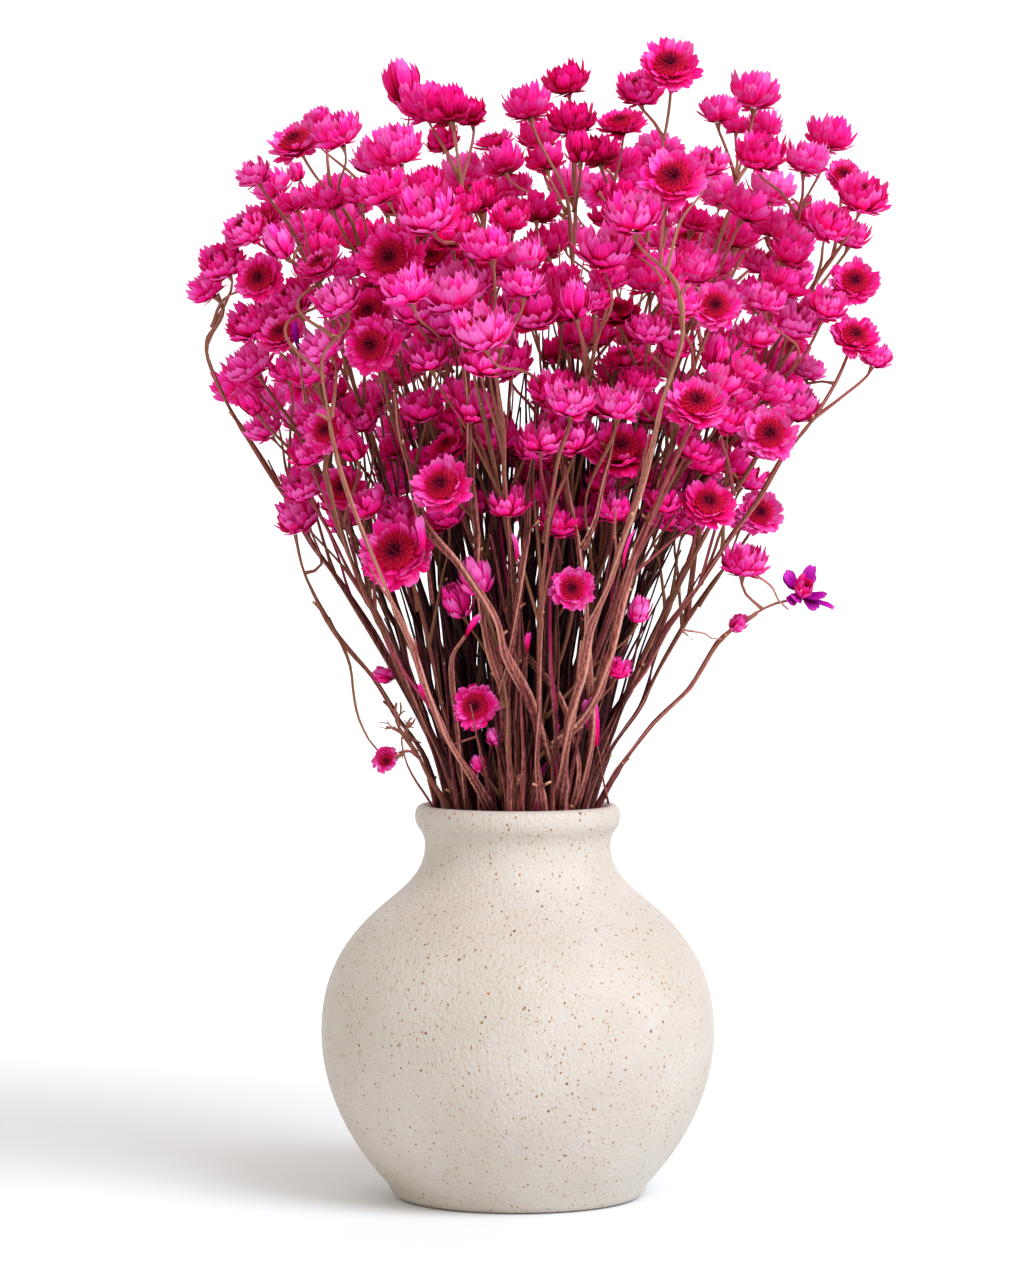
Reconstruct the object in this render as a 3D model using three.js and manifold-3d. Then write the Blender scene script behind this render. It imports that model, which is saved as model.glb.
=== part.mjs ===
// Dried winged everlasting: dyed papery heads on branched stems, standing in a round speckled stoneware vase.
// Millimetres, +Z up, -Y towards the viewer, origin at the middle of the vase's foot.
import * as THREE from "three";
import { mergeVertices } from "three/addons/utils/BufferGeometryUtils.js";
import Module from "manifold-3d";

const wasm = await Module();
wasm.setup();

// Vase
const BELLY_RADIUS = 65;
const BELLY_HEIGHT = 55;
const SHOULDER_RADIUS = 44;
const SHOULDER_HEIGHT = 97;
const NECK_RADIUS = 30.7;
const NECK_HEIGHT = 116.5;
const RIM_RADIUS = 34;
const RIM_HEIGHT = 126;
const RIM_TOP = 131;
const MOUTH_RADIUS = 28.8;
const NECK_TOP = 119.5;
const NECK_WALL = 3.3;
const BELLY_WALL = 4.2;
const FOOT_RADIUS = 38.5;
const FLOOR_HEIGHT = 6.5;
const FLOOR_RADIUS = 36;
const VASE_SIDES = 24;
const INNER_NECK = NECK_RADIUS - NECK_WALL;
const INNER_BELLY = BELLY_RADIUS - BELLY_WALL;
const INNER_SHOULDER = SHOULDER_RADIUS - BELLY_WALL;

// The vase's outline as curves of [steps, handle, handle, end], each point [radius, height]: up the
// outside from the edge of the foot, over the rim and down the inside to the floor
const VASE_CURVES = [
  [1, [FOOT_RADIUS + 3, 0], [FOOT_RADIUS + 3.5, 2.5], [FOOT_RADIUS + 4.5, 4.5]],
  [4, [55, 17], [BELLY_RADIUS, 35], [BELLY_RADIUS, BELLY_HEIGHT]],
  [4, [BELLY_RADIUS, 75], [56, 87], [SHOULDER_RADIUS, SHOULDER_HEIGHT]],
  [3, [36, 103.5], [NECK_RADIUS, 108], [NECK_RADIUS, NECK_HEIGHT]],
  [2, [NECK_RADIUS, 121.5], [RIM_RADIUS, 121.5], [RIM_RADIUS, RIM_HEIGHT]],
  [3, [RIM_RADIUS, 130.7], [MOUTH_RADIUS + 1, RIM_TOP], [MOUTH_RADIUS, RIM_HEIGHT + 0.5]],
  [1, [MOUTH_RADIUS - 0.5, 123], [INNER_NECK, 121], [INNER_NECK, NECK_HEIGHT]],
  [2, [INNER_NECK, 107], [33, 101], [INNER_SHOULDER, SHOULDER_HEIGHT - 2]],
  [2, [52.5, 85], [INNER_BELLY, 74], [INNER_BELLY, BELLY_HEIGHT]],
  [2, [INNER_BELLY, 35], [52, 17], [FLOOR_RADIUS, FLOOR_HEIGHT]],
];

// Where the stems stand in the vase: places on a sunflower spiral in the neck, drawn in below it
const STEM_PLACES = 74;
const PLACES_RADIUS = 24.2;
const PLACE_TURN = Math.PI * (3 - Math.sqrt(5));
const FOOT_SHARE = 0.7;
const STEM_FOOT_HEIGHT = FLOOR_HEIGHT + 0.6;
const FLARE_AT_NECK = 0.22;

// Stems
const STEM_RADIUS = 1.5;
const STEM_TIP_RADIUS = 1.0;
const PEDICEL_RADIUS = 0.85;
const STEM_RIDGES = 3;
const STEM_STEPS = 5;
const PEDICEL_STEPS = 2;
const CLEARANCE = 0.45;
const CHECK_STEP = 2.5;

// A side stem forks off this far below its head, within these shares of the main stem
const FORK_DROP = 38;
const LOWEST_FORK = 0.3;
const HIGHEST_FORK = 0.9;
const FORK_SPREAD = 0.5;

// Each try for a way through sways further: the reach of a stem's bend at its foot, and at its head
const FOOT_REACH = 0.3;
const HEAD_REACH = [8, 24];
const STEM_SWAY = 2;
const PEDICEL_SWAY = 0.5;
const SWAY_PER_TRY = 0.1;
const SPREAD_PER_TRY = 0.01;
const STEM_TRIES = 600;
const PEDICEL_TRIES = 500;
const PLACES_TRIED = 5;

// The bunch seen from the front: its half width at each height, and how deep it is for that width
const FAN = [
  [116, 26],
  [170, 51],
  [210, 73],
  [240, 87],
  [262, 98],
  [300, 112],
  [330, 116],
  [350, 106],
  [370, 84],
  [390, 60],
];
const DEPTH_FOR_WIDTH = 0.82;
const EDGE_CHORD = 0.1;
const FAN_CENTRE = 95;
const HEAD_GAP = 0.5;
const DEPTH_STEP = 2;
const DEPTH_TRIES = 45;

// How a head is turned: its random sway, how far a side head leans back, and an open one turns to the viewer
const AIM_SWAY = 0.5;
const AIM_BACK = 0.3;
const OPEN_TURN = 0.75;

// Sprays are laid from the low front to the high back
const HEIGHT_IN_ORDER = 1.2;

// The heads were read by eye from one view, so a nearer head is drawn in towards the line of sight
const EYE_DISTANCE = 1500;
const EYE_HEIGHT = 240;

// How far a head sits behind the front of its spray
const front = 0;
const middle = 11;
const behind = 22;

// A narrow head has fewer petals: one for each pitch of its width
const FEWEST_PETALS = 4;
const PETAL_PITCH = 3;

// The forms of a head. Each ring of petal tips, and of the dips between them, is [out, up] in shares of
// the head's width; a ring's turn is in petals; centre and reach give the ball that holds the head.
const open = {
  petals: 6,
  rings: [
    { tip: [0.5, 0.3], dip: [0.31, 0.17], turn: 0 },
    { tip: [0.27, 0.25], turn: 0 },
    { tip: [0.37, 0.4], dip: [0.24, 0.29], turn: 0.5 },
    { tip: [0.17, 0.25], turn: 0.5 },
  ],
  top: 0.31,
  centre: 0.2,
  reach: 0.53,
  facing: 0.8,
};
const turned = { ...open, facing: 0.42 };
const side = {
  petals: 6,
  rings: [
    { tip: [0.4, 0.17], turn: 0 },
    { tip: [0.5, 0.5], dip: [0.35, 0.7], turn: 0 },
    { tip: [0.17, 0.52], turn: 0.5 },
  ],
  top: 0.6,
  centre: 0.38,
  reach: 0.53,
  facing: 0,
};
const bud = {
  petals: 4,
  rings: [
    { tip: [0.46, 0.42], turn: 0 },
    { tip: [0.34, 1.0], dip: [0.26, 0.84], turn: 0 },
  ],
  top: 0.92,
  centre: 0.5,
  reach: 0.6,
  facing: 0,
};
const starry = {
  petals: 6,
  rings: [
    { tip: [0.5, 0.36], dip: [0.17, 0.14], turn: 0 },
    { tip: [0.2, 0.2], turn: 0 },
    { tip: [0.26, 0.46], dip: [0.2, 0.36], turn: 0.5 },
  ],
  top: 0.5,
  centre: 0.2,
  reach: 0.53,
  facing: 0.4,
};
const leaf = {
  petals: 2,
  rings: [{ tip: [0.36, 0.5], dip: [0.09, 0.5], turn: 0 }],
  top: 1.1,
  centre: 0.5,
  reach: 0.65,
  facing: 0,
};
const stub = { ...leaf, petals: 3, rings: [{ tip: [0.4, 0.3], turn: 0 }] };

// Each spray: how deep it stands, from -1 at the front of the bunch to 1 at its back, and its heads of
// [across, height, width, form, behind], the head that its main stem tries for first
const SPRAYS = {
  left_1: [-0.9, [[-103, 301, 13, side, front], [-98, 309, 15, side, front], [-85, 303, 16, open, front]]],
  left_2: [-0.9, [[-90, 320, 14, side, front], [-87, 338, 11, side, front], [-79, 315, 12, bud, front],
    [-84, 322, 13, turned, behind]]],
  left_3: [-0.9, [[-73, 348, 18, turned, front], [-60, 352, 15, side, front], [-66, 356, 9, side, middle]]],
  left_4: [0.4, [[-76, 326, 16, turned, middle], [-81, 334, 13, side, middle], [-67, 330, 11, side, front],
    [-73, 338, 7, bud, middle], [-70, 321, 14, side, front]]],
  left_5: [0.85, [[-53, 327, 13, turned, behind], [-60, 333, 13, side, behind], [-59, 323, 13, side, behind],
    [-55, 320, 13, side, behind]]],
  left_6: [-0.9, [[-60, 297, 15, side, front], [-65, 308, 15, turned, front], [-56, 307, 11, side, behind],
    [-65, 282, 15, side, front]]],
  left_7: [-0.9, [[-78, 285, 15, turned, front], [-75, 297, 15, side, middle], [-89, 289, 15, side, front],
    [-84, 292, 10, side, behind]]],
  left_8: [-0.3, [[-89, 276, 16, side, front], [-88, 268, 11, side, middle], [-88, 262, 9, bud, middle],
    [-84, 255, 13, side, front]]],
  left_9: [-0.9, [[-63, 253, 15, open, front], [-55, 248, 11, bud, front], [-69, 259, 7, side, behind],
    [-51, 257, 10, side, behind]]],
  left_10: [-0.5, [[-71, 235, 13, side, front], [-73, 226, 16, side, front], [-58, 234, 15, open, front]]],
  left_11: [-0.9, [[-48, 281, 18, open, front], [-49, 292, 16, open, middle],
    [-48, 299, 15, turned, middle]]],
  left_12: [-0.9, [[-42, 310, 20, open, front], [-37, 301, 16, side, front], [-35, 293, 13, side, middle],
    [-40, 286, 11, side, behind]]],
  left_13: [0.3, [[-38, 279, 13, side, middle], [-26, 277, 10, bud, front], [-29, 286, 14, side, behind],
    [-49, 267, 9, side, behind]]],
  left_14: [-0.9, [[-40, 213, 24, open, front], [-41, 226, 13, side, front]]],
  top_1: [-0.9, [[-31, 335, 13, side, behind], [-41, 347, 18, side, front], [-45, 334, 15, side, front]]],
  top_2: [0.1, [[-23, 360, 16, side, front], [-31, 361, 16, side, middle], [-16, 358, 12, side, middle],
    [-25, 349, 12, side, behind]]],
  top_3: [-0.9, [[-30, 326, 19, side, front], [-17, 328, 9, side, behind]]],
  top_4: [0.6, [[3, 361, 16, side, middle], [7, 351, 15, side, behind], [9, 343, 13, side, behind],
    [-5, 342, 14, side, front]]],
  top_5: [0.85, [[-8, 348, 15, turned, middle], [-18, 338, 17, side, behind], [-8, 331, 13, side, behind],
    [-1, 334, 12, side, front]]],
  top_6: [0, [[18, 356, 15, side, middle], [16, 369, 15, side, front], [20, 346, 11, bud, front]]],
  top_7: [0.5, [[17, 335, 16, side, behind], [9, 315, 15, side, front], [15, 318, 13, side, behind]]],
  top_8: [0.2, [[34, 354, 17, turned, front], [35, 342, 13, side, behind], [40, 335, 14, side, behind],
    [27, 345, 13, side, middle]]],
  top_9: [-0.5, [[50, 373, 20, turned, front], [40, 366, 15, side, middle]]],
  top_10: [-0.9, [[51, 336, 20, open, front], [63, 342, 12, side, front], [38, 325, 17, side, front]]],
  right_1: [0.2, [[78, 365, 17, side, front], [66, 359, 13, side, front], [72, 354, 9, side, behind],
    [81, 354, 12, side, behind]]],
  right_2: [-0.4, [[103, 351, 16, side, front], [95, 343, 14, side, front], [80, 345, 16, side, front]]],
  right_3: [-0.9, [[114, 331, 16, side, front], [107, 337, 12, turned, middle], [103, 322, 15, side, front],
    [110, 318, 12, side, behind]]],
  right_4: [0.8, [[72, 319, 17, side, front], [67, 332, 15, side, behind], [83, 333, 16, side, behind],
    [93, 324, 10, side, behind]]],
  right_5: [0.6, [[90, 306, 15, side, middle], [90, 316, 15, side, behind], [81, 309, 13, side, front],
    [83, 322, 14, side, middle]]],
  right_6: [-0.9, [[111, 302, 16, open, front], [102, 295, 13, side, front], [91, 291, 18, side, middle],
    [82, 297, 12, side, middle], [79, 286, 14, side, middle]]],
  right_7: [-0.9, [[111, 284, 16, turned, front], [118, 278, 11, side, front], [96, 274, 11, side, behind]]],
  right_8: [0.1, [[86, 274, 18, side, front], [90, 280, 13, turned, behind], [92, 262, 15, side, behind]]],
  right_9: [-0.9, [[83, 252, 18, open, front], [69, 258, 13, side, front]]],
  mid_1: [-0.9, [[-22, 300, 19, side, front], [-28, 310, 15, turned, behind], [-22, 313, 12, side, behind],
    [-13, 303, 11, side, middle]]],
  mid_2: [-0.9, [[-10, 315, 15, side, front], [1, 311, 15, side, front], [1, 302, 13, side, front],
    [-3, 324, 13, side, behind]]],
  mid_3: [-0.9, [[4, 295, 20, side, front], [-12, 287, 18, side, front], [-4, 277, 16, side, behind]]],
  mid_4: [-0.9, [[25, 297, 11, side, middle], [28, 314, 18, side, front], [19, 296, 12, bud, front],
    [15, 304, 11, side, behind], [30, 304, 12, side, behind]]],
  mid_5: [-0.9, [[44, 306, 20, side, front], [33, 292, 15, turned, middle], [38, 313, 8, turned, behind]]],
  mid_6: [0.9, [[56, 316, 14, turned, behind], [47, 317, 13, side, behind], [60, 321, 12, side, behind],
    [65, 307, 13, side, behind]]],
  mid_7: [-0.9, [[65, 294, 16, open, front], [54, 296, 13, side, front], [43, 287, 13, side, middle],
    [65, 278, 12, bud, behind], [58, 307, 14, side, middle]]],
  mid_8: [-0.4, [[36, 277, 16, turned, front], [19, 285, 12, side, behind], [11, 279, 9, bud, behind],
    [26, 286, 13, side, behind]]],
  mid_9: [-0.9, [[59, 262, 20, turned, front], [63, 229, 18, turned, front]]],
  low_1: [0.2, [[-16, 262, 13, side, middle], [-22, 257, 10, side, middle], [-10, 257, 12, side, middle],
    [-1, 246, 11, bud, front], [4, 239, 12, side, front]]],
  low_2: [-0.9, [[-25, 235, 19, open, front], [-23, 248, 14, turned, behind]]],
  low_3: [-0.9, [[17, 264, 15, side, front], [18, 252, 15, side, front], [11, 254, 12, side, middle],
    [9, 245, 12, side, middle]]],
  low_4: [-0.9, [[34, 247, 22, turned, front], [33, 263, 15, side, front], [32, 228, 12, side, middle],
    [40, 270, 12, side, middle]]],
  low_5: [0, [[80, 226, 15, open, front], [74, 224, 10, side, middle]]],
  low_6: [-0.8, [[-14, 205, 13, bud, front], [-20, 197, 12, bud, front]]],
  low_7: [-0.9, [[-14, 162, 15, open, front], [-13, 143, 6, bud, front], [-8, 152, 6, bud, front]]],
  low_8: [-0.9, [[18, 201, 14, open, front], [40, 194, 9, bud, front], [33, 175, 9, side, front]]],
};

// The strays keep the routes seen in the view: points of [across, depth, height] above the rim.
// Each side stem starts on the main stem at a share of its way up; a head is [x, y, z, width, form, aim].
const STRAYS = {
  right_stray: {
    place: [25, -2],
    route: [[26.6, -3, 129], [42, -6, 153], [57, -8, 171], [72, -10, 189], [82, -12, 196]],
    head: [94, -14, 202, 16, starry, [0.5, -0.5, 0.75]],
    branches: [
      { from: 0.8, route: [[74, -11, 200]], head: [74, -12, 211, 15, side, [0.1, -0.2, 1]] },
      { from: 0.77, route: [], head: [72, -16, 190, 7, bud, [0.5, -0.6, 0.6]] },
      { from: 0.9, route: [[83, -18, 202]], head: [89, -20, 194, 3, stub, [0.5, -0.2, -0.8]] },
    ],
  },
  left_stray: {
    place: [-25, -3],
    route: [[-26.4, -4, 129], [-33, -5, 149], [-42, -8, 164], [-59, -12, 186], [-69, -14, 204]],
    head: [-73, -16, 221, 4, bud, [-0.2, 0, 1]],
    branches: [
      { from: 0.86, route: [[-64, -17, 209]], head: [-68, -18, 223, 3, stub, [-0.2, 0, 1]] },
      {
        from: 0.72,
        route: [[-54, -18, 176], [-52, -18, 160], [-48, -18, 151]],
        head: [-43, -18, 145, 9, open, [0.45, -0.2, -0.8]],
      },
      { from: 0.55, route: [], head: [-44, -14, 173, 7, bud, [-0.9, -0.3, 0.2]] },
    ],
  },
  curled_twig: {
    place: [-22, -12],
    route: [[-23, -13.5, 129], [-29, -17, 140], [-34, -21, 150]],
    head: [-39, -24, 162, 6, leaf, [0.1, -0.2, 1]],
    branches: [
      { from: 0.7, route: [], head: [-43, -23, 157, 5, leaf, [-1, 0, 0.3]] },
      { from: 0.8, route: [], head: [-35, -28, 158, 5, leaf, [0.5, -0.4, 0.7]] },
      { from: 0.66, route: [], head: [-38, -26, 148, 4, leaf, [-0.6, -0.4, -0.3]] },
    ],
  },
};

// The side that the view hides is filled by a rule, with sprays like those in front
const BACK_SPRAYS = 6;
const BACK_HEADS = 4;
const BACK_LOW = 232;
const BACK_HIGH = 352;
const BACK_REACH = 0.85;
const BACK_STEP = (Math.sqrt(5) - 1) / 2;
const BACK_SPREAD = [17, 25];
const BACK_DEPTH = 0.97;
const BACK_WIDTHS = [13, 19];
const BACK_FORMS = [open, side, turned, side, bud];

// Heads, sprays at the back and the stems of each spray draw from seeds of their own
const SEED = 20260;
const BACK_SEEDS = 1000;
const SPRAY_SEEDS = 5000;

// A small seeded generator of numbers from 0 to 1
function seeded(seed) {
  let state = seed >>> 0;
  return () => {
    state = (Math.imul(state, 1664525) + 1013904223) >>> 0;
    return state / 4294967296;
  };
}

function between([low, high], share) {
  return low + (high - low) * share;
}

function limited(value, low, high) {
  return Math.min(high, Math.max(low, value));
}

function halfWidthAt(height) {
  const next = FAN.findIndex(([level]) => level > height);
  if (next <= 0) return next === 0 ? FAN[0][1] : FAN[FAN.length - 1][1];
  const [low, widthLow] = FAN[next - 1];
  const [high, widthHigh] = FAN[next];
  return between([widthLow, widthHigh], (height - low) / (high - low));
}

function depthAt(across, height, share) {
  const half = halfWidthAt(height);
  const chord = Math.sqrt(Math.max(half * half - across * across, EDGE_CHORD * half * half));
  return share * DEPTH_FOR_WIDTH * chord;
}

// The point at a depth that is seen at this place in the middle plane
function seenAt(across, height, depth) {
  const reach = (EYE_DISTANCE + depth) / EYE_DISTANCE;
  return new THREE.Vector3(across * reach, depth, EYE_HEIGHT + (height - EYE_HEIGHT) * reach);
}

// Heads turn outwards from the foot of the fan; open ones look at the viewer, or backwards at the back
function aimOf({ row, depth, looks }, random) {
  const [across, height, , { facing }] = row;
  const out = new THREE.Vector3(across, 0, height - FAN_CENTRE).normalize();
  const sway = new THREE.Vector3(random() - 0.5, random() - 0.5, random() - 0.5).multiplyScalar(AIM_SWAY);
  const away = new THREE.Vector3(0, looks * facing + AIM_BACK * depth * (1 - facing), 0);
  return out.multiplyScalar(1 - OPEN_TURN * facing).add(away).add(sway).normalize();
}

function makeHead(centre, width, form, axis) {
  const base = centre.clone().addScaledVector(axis, -form.centre * width);
  return { centre, width, form, axis, base, reach: form.reach * width };
}

const settled = [];

function hasRoom(head) {
  return settled.every((other) => head.centre.distanceTo(other.centre) > head.reach + other.reach + HEAD_GAP);
}

// Moves the head in or out from its wanted depth, further in than out, until it clears the heads before it
function settleHead(listed) {
  const [across, height, width, form, back] = listed.row;
  const axis = aimOf(listed, seeded(SEED + listed.number));
  const wanted = depthAt(across, height, listed.depth) + back;
  const inward = wanted < 0 ? DEPTH_STEP : -DEPTH_STEP;
  for (let attempt = 0; attempt < DEPTH_TRIES; attempt++) {
    for (const shift of [attempt * inward, -0.5 * attempt * inward]) {
      const head = makeHead(seenAt(across, height, wanted + shift), width, form, axis);
      if (hasRoom(head)) {
        settled.push(head);
        return head;
      }
    }
  }
  throw new Error(`no room for the head at ${across}, ${height}`);
}

function listedHeads() {
  const rows = [];
  for (const [name, [depth, heads]] of Object.entries(SPRAYS)) {
    heads.forEach((row, order) => rows.push({ name, order, row, depth, looks: -1 }));
  }
  for (let spray = 0; spray < BACK_SPRAYS; spray++) {
    rows.push(...backRows(spray));
  }
  rows.forEach((entry, number) => {
    entry.number = number;
  });
  return rows.sort((a, b) => Math.abs(b.depth) - Math.abs(a.depth));
}

// One spray at the back: its leading head, with the others in a ring round it
function backRows(spray) {
  const random = seeded(SEED + BACK_SEEDS + spray);
  const height = BACK_LOW + (BACK_HIGH - BACK_LOW) * (((spray + 0.5) * BACK_STEP) % 1);
  const across = ((2 * spray + 1) / BACK_SPRAYS - 1) * BACK_REACH * halfWidthAt(height);
  const rows = [];
  for (let order = 0; order < BACK_HEADS; order++) {
    const turn = order * PLACE_TURN + random();
    const spread = order === 0 ? 0 : between(BACK_SPREAD, random());
    const width = Math.round(between(BACK_WIDTHS, random()));
    const form = BACK_FORMS[(order + spray) % BACK_FORMS.length];
    const row = [across + spread * Math.cos(turn), height + spread * Math.sin(turn), width, form, front];
    rows.push({ name: `back_${spray + 1}`, order, row, depth: BACK_DEPTH, looks: 1 });
  }
  return rows;
}

// The places in the neck where stems may stand
function stemPlaces() {
  return Array.from({ length: STEM_PLACES }, (_, place) => {
    const radius = PLACES_RADIUS * Math.sqrt((place + 0.5) / STEM_PLACES);
    const angle = place * PLACE_TURN;
    return new THREE.Vector2(radius * Math.cos(angle), radius * Math.sin(angle));
  });
}

const places = stemPlaces();

function takePlace(place) {
  places.splice(places.indexOf(place), 1);
}

function nearestPlaces(wanted) {
  return [...places].sort((a, b) => a.distanceTo(wanted) - b.distanceTo(wanted));
}

const laid = [];

// Points along a line of chords, close enough together to test for room
function samplesAlong(points, radius) {
  const samples = [];
  for (let leg = 0; leg + 1 < points.length; leg++) {
    const steps = Math.max(1, Math.ceil(points[leg].distanceTo(points[leg + 1]) / CHECK_STEP));
    for (let step = 0; step < steps; step++) {
      samples.push({ point: points[leg].clone().lerp(points[leg + 1], step / steps), radius });
    }
  }
  return samples;
}

function mouthRadiusAt(height) {
  if (height < NECK_TOP) return INNER_NECK;
  return between([INNER_NECK, MOUTH_RADIUS], (height - NECK_TOP) / (RIM_HEIGHT - NECK_TOP));
}

function clearsMouth({ point, radius }) {
  if (point.z > RIM_TOP) return true;
  return Math.hypot(point.x, point.y) + radius + CLEARANCE < mouthRadiusAt(point.z);
}

// What a stem has to clear: all the heads but its own, and the stems of the other sprays
function obstaclesFor(name, ownHead) {
  const heads = settled.filter((head) => head !== ownHead);
  const stems = laid.filter((sample) => sample.name !== name);
  return [
    ...heads.map(({ centre, reach }) => ({ point: centre, room: reach + CLEARANCE })),
    ...stems.map(({ point, radius }) => ({ point, room: radius + 2 * CLEARANCE })),
  ];
}

function isClear(samples, obstacles) {
  return samples.every((sample) => clearsMouth(sample)
    && obstacles.every(({ point, room }) => {
      const gap = room + sample.radius;
      return point.distanceToSquared(sample.point) > gap * gap;
    }));
}

function chordsOf(curve, steps) {
  return Array.from({ length: steps + 1 }, (_, step) => curve.getPoint(step / steps));
}

// A curve that leaves its start along one way and reaches its end along another
function bend(start, startWay, end, endWay, random, sway) {
  const reach = FOOT_REACH * start.distanceTo(end);
  const lean = () => between([-sway, sway], random());
  const first = start.clone().addScaledVector(startWay, reach);
  first.add(new THREE.Vector3(lean(), lean(), 0));
  const second = end.clone().addScaledVector(endWay, -Math.min(reach, between(HEAD_REACH, random())));
  second.add(new THREE.Vector3(lean(), lean(), 0));
  return new THREE.CubicBezierCurve3(start, first, second, end);
}

// A main stem from its place in the neck up to a head
function routeStem(head, wanted, random, name) {
  const obstacles = obstaclesFor(name, head);
  const near = nearestPlaces(wanted);
  for (let attempt = 0; attempt < STEM_TRIES; attempt++) {
    const place = near[attempt % PLACES_TRIED];
    const start = new THREE.Vector3(place.x, place.y, NECK_HEIGHT);
    const flare = FLARE_AT_NECK / PLACES_RADIUS;
    const way = new THREE.Vector3(place.x * flare, place.y * flare, 1).normalize();
    const curve = bend(start, way, head.base, head.axis, random, STEM_SWAY + attempt * SWAY_PER_TRY);
    const points = chordsOf(curve, STEM_STEPS);
    if (isClear(samplesAlong(points, STEM_RADIUS), obstacles)) {
      takePlace(place);
      return { lead: head, place, points };
    }
  }
  return null;
}

// The first head that a stem can reach leads the spray
function routeToLead(heads, random, name) {
  for (const head of heads) {
    const routed = routeStem(head, wantedPlace(head), random, name);
    if (routed) return routed;
  }
  throw new Error(`no way through for the stem of ${name}`);
}

function pointOn(points, share) {
  const along = share * (points.length - 1);
  const leg = Math.min(Math.floor(along), points.length - 2);
  const way = points[leg + 1].clone().sub(points[leg]).normalize();
  return { point: points[leg].clone().lerp(points[leg + 1], along - leg), way };
}

// A side stem from the main stem to its head, starting some way below the head
function routePedicel(head, stem, random, name) {
  const obstacles = obstaclesFor(name, head);
  const rise = stem[stem.length - 1].z - stem[0].z;
  const wanted = (head.base.z - FORK_DROP - stem[0].z) / rise;
  for (let attempt = 0; attempt < PEDICEL_TRIES; attempt++) {
    const spread = Math.min(FORK_SPREAD, attempt * SPREAD_PER_TRY);
    const share = limited(wanted + (random() - 0.5) * spread, LOWEST_FORK, HIGHEST_FORK);
    const { point, way } = pointOn(stem, share);
    const curve = bend(point, way, head.base, head.axis, random, PEDICEL_SWAY + attempt * SWAY_PER_TRY);
    const points = chordsOf(curve, PEDICEL_STEPS);
    if (isClear(samplesAlong(points, PEDICEL_RADIUS), obstacles)) return points;
  }
  throw new Error(`no way through for a side stem of ${name}`);
}

function lay(points, radius, name) {
  laid.push(...samplesAlong(points, radius).map((sample) => ({ ...sample, name })));
}

// Where a stem's foot stands on the vase's floor
function footOf(place) {
  return new THREE.Vector3(place.x * FOOT_SHARE, place.y * FOOT_SHARE, STEM_FOOT_HEIGHT);
}

function layStray(name, { place, route, head, branches }) {
  const [spot] = nearestPlaces(new THREE.Vector2(...place));
  takePlace(spot);
  const lead = strayHead(head);
  const start = new THREE.Vector3(spot.x, spot.y, NECK_HEIGHT);
  const main = [start, ...route.map((point) => new THREE.Vector3(...point)), lead.base];
  lay(main, STEM_RADIUS, name);
  const stems = [{ points: [footOf(spot), ...main], head: lead, thick: true }];
  for (const branch of branches) {
    const tip = strayHead(branch.head);
    const via = branch.route.map((point) => new THREE.Vector3(...point));
    const points = [pointOn(main, branch.from).point, ...via, tip.base];
    lay(points, PEDICEL_RADIUS, name);
    stems.push({ points, head: tip });
  }
  return { name, stems };
}

function strayHead([x, y, z, width, form, aim]) {
  const head = makeHead(new THREE.Vector3(x, y, z), width, form, new THREE.Vector3(...aim).normalize());
  settled.push(head);
  return head;
}

// Where a spray would like to stand: towards the side of the vase that its leading head is on
function wantedPlace(head) {
  const half = halfWidthAt(head.centre.z);
  const share = new THREE.Vector2(head.centre.x / half, head.centre.y / (DEPTH_FOR_WIDTH * half));
  return share.clampLength(0, 1).multiplyScalar(PLACES_RADIUS);
}

function laySpray(name, heads, number) {
  const random = seeded(SEED + SPRAY_SEEDS + number);
  const { lead, place, points } = routeToLead(heads, random, name);
  lay(points, STEM_RADIUS, name);
  const stems = [{ points: [footOf(place), ...points], head: lead, thick: true }];
  for (const head of heads.filter((other) => other !== lead)) {
    const pedicel = routePedicel(head, points, random, name);
    lay(pedicel, PEDICEL_RADIUS, name);
    stems.push({ points: pedicel, head });
  }
  return { name, stems };
}

function laySprays() {
  const laidSprays = Object.entries(STRAYS).map(([name, stray]) => layStray(name, stray));
  const bunches = new Map();
  for (const listed of listedHeads()) {
    const heads = bunches.get(listed.name) ?? [];
    heads[listed.order] = settleHead(listed);
    bunches.set(listed.name, heads);
  }
  const turnOf = ([, [lead]]) => lead.centre.y + HEIGHT_IN_ORDER * lead.centre.z;
  const ordered = [...bunches].sort((a, b) => turnOf(a) - turnOf(b));
  ordered.forEach(([name, heads], number) => laidSprays.push(laySpray(name, heads, number)));
  return laidSprays;
}

// Directions along a line of chords, with a crosswise direction carried along without twist
function framesAlong(points, lastWay) {
  const last = points.length - 1;
  const across = new THREE.Vector3(1, 0.3, 0);
  return points.map((point, k) => {
    const way = k === last ? lastWay : points[k + 1].clone().sub(points[Math.max(k - 1, 0)]).normalize();
    across.addScaledVector(way, -across.dot(way)).normalize();
    return { point, way, across: across.clone(), aside: way.clone().cross(across) };
  });
}

function onFrame({ point, way, across, aside }, angle, out, up) {
  return point
    .clone()
    .addScaledVector(across, out * Math.cos(angle))
    .addScaledVector(aside, out * Math.sin(angle))
    .addScaledVector(way, up);
}

function stemRing(frame, radius) {
  const step = (2 * Math.PI) / STEM_RIDGES;
  const points = Array.from({ length: STEM_RIDGES }, (_, k) => onFrame(frame, step * k, radius, 0));
  return { points, turn: 0 };
}

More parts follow.
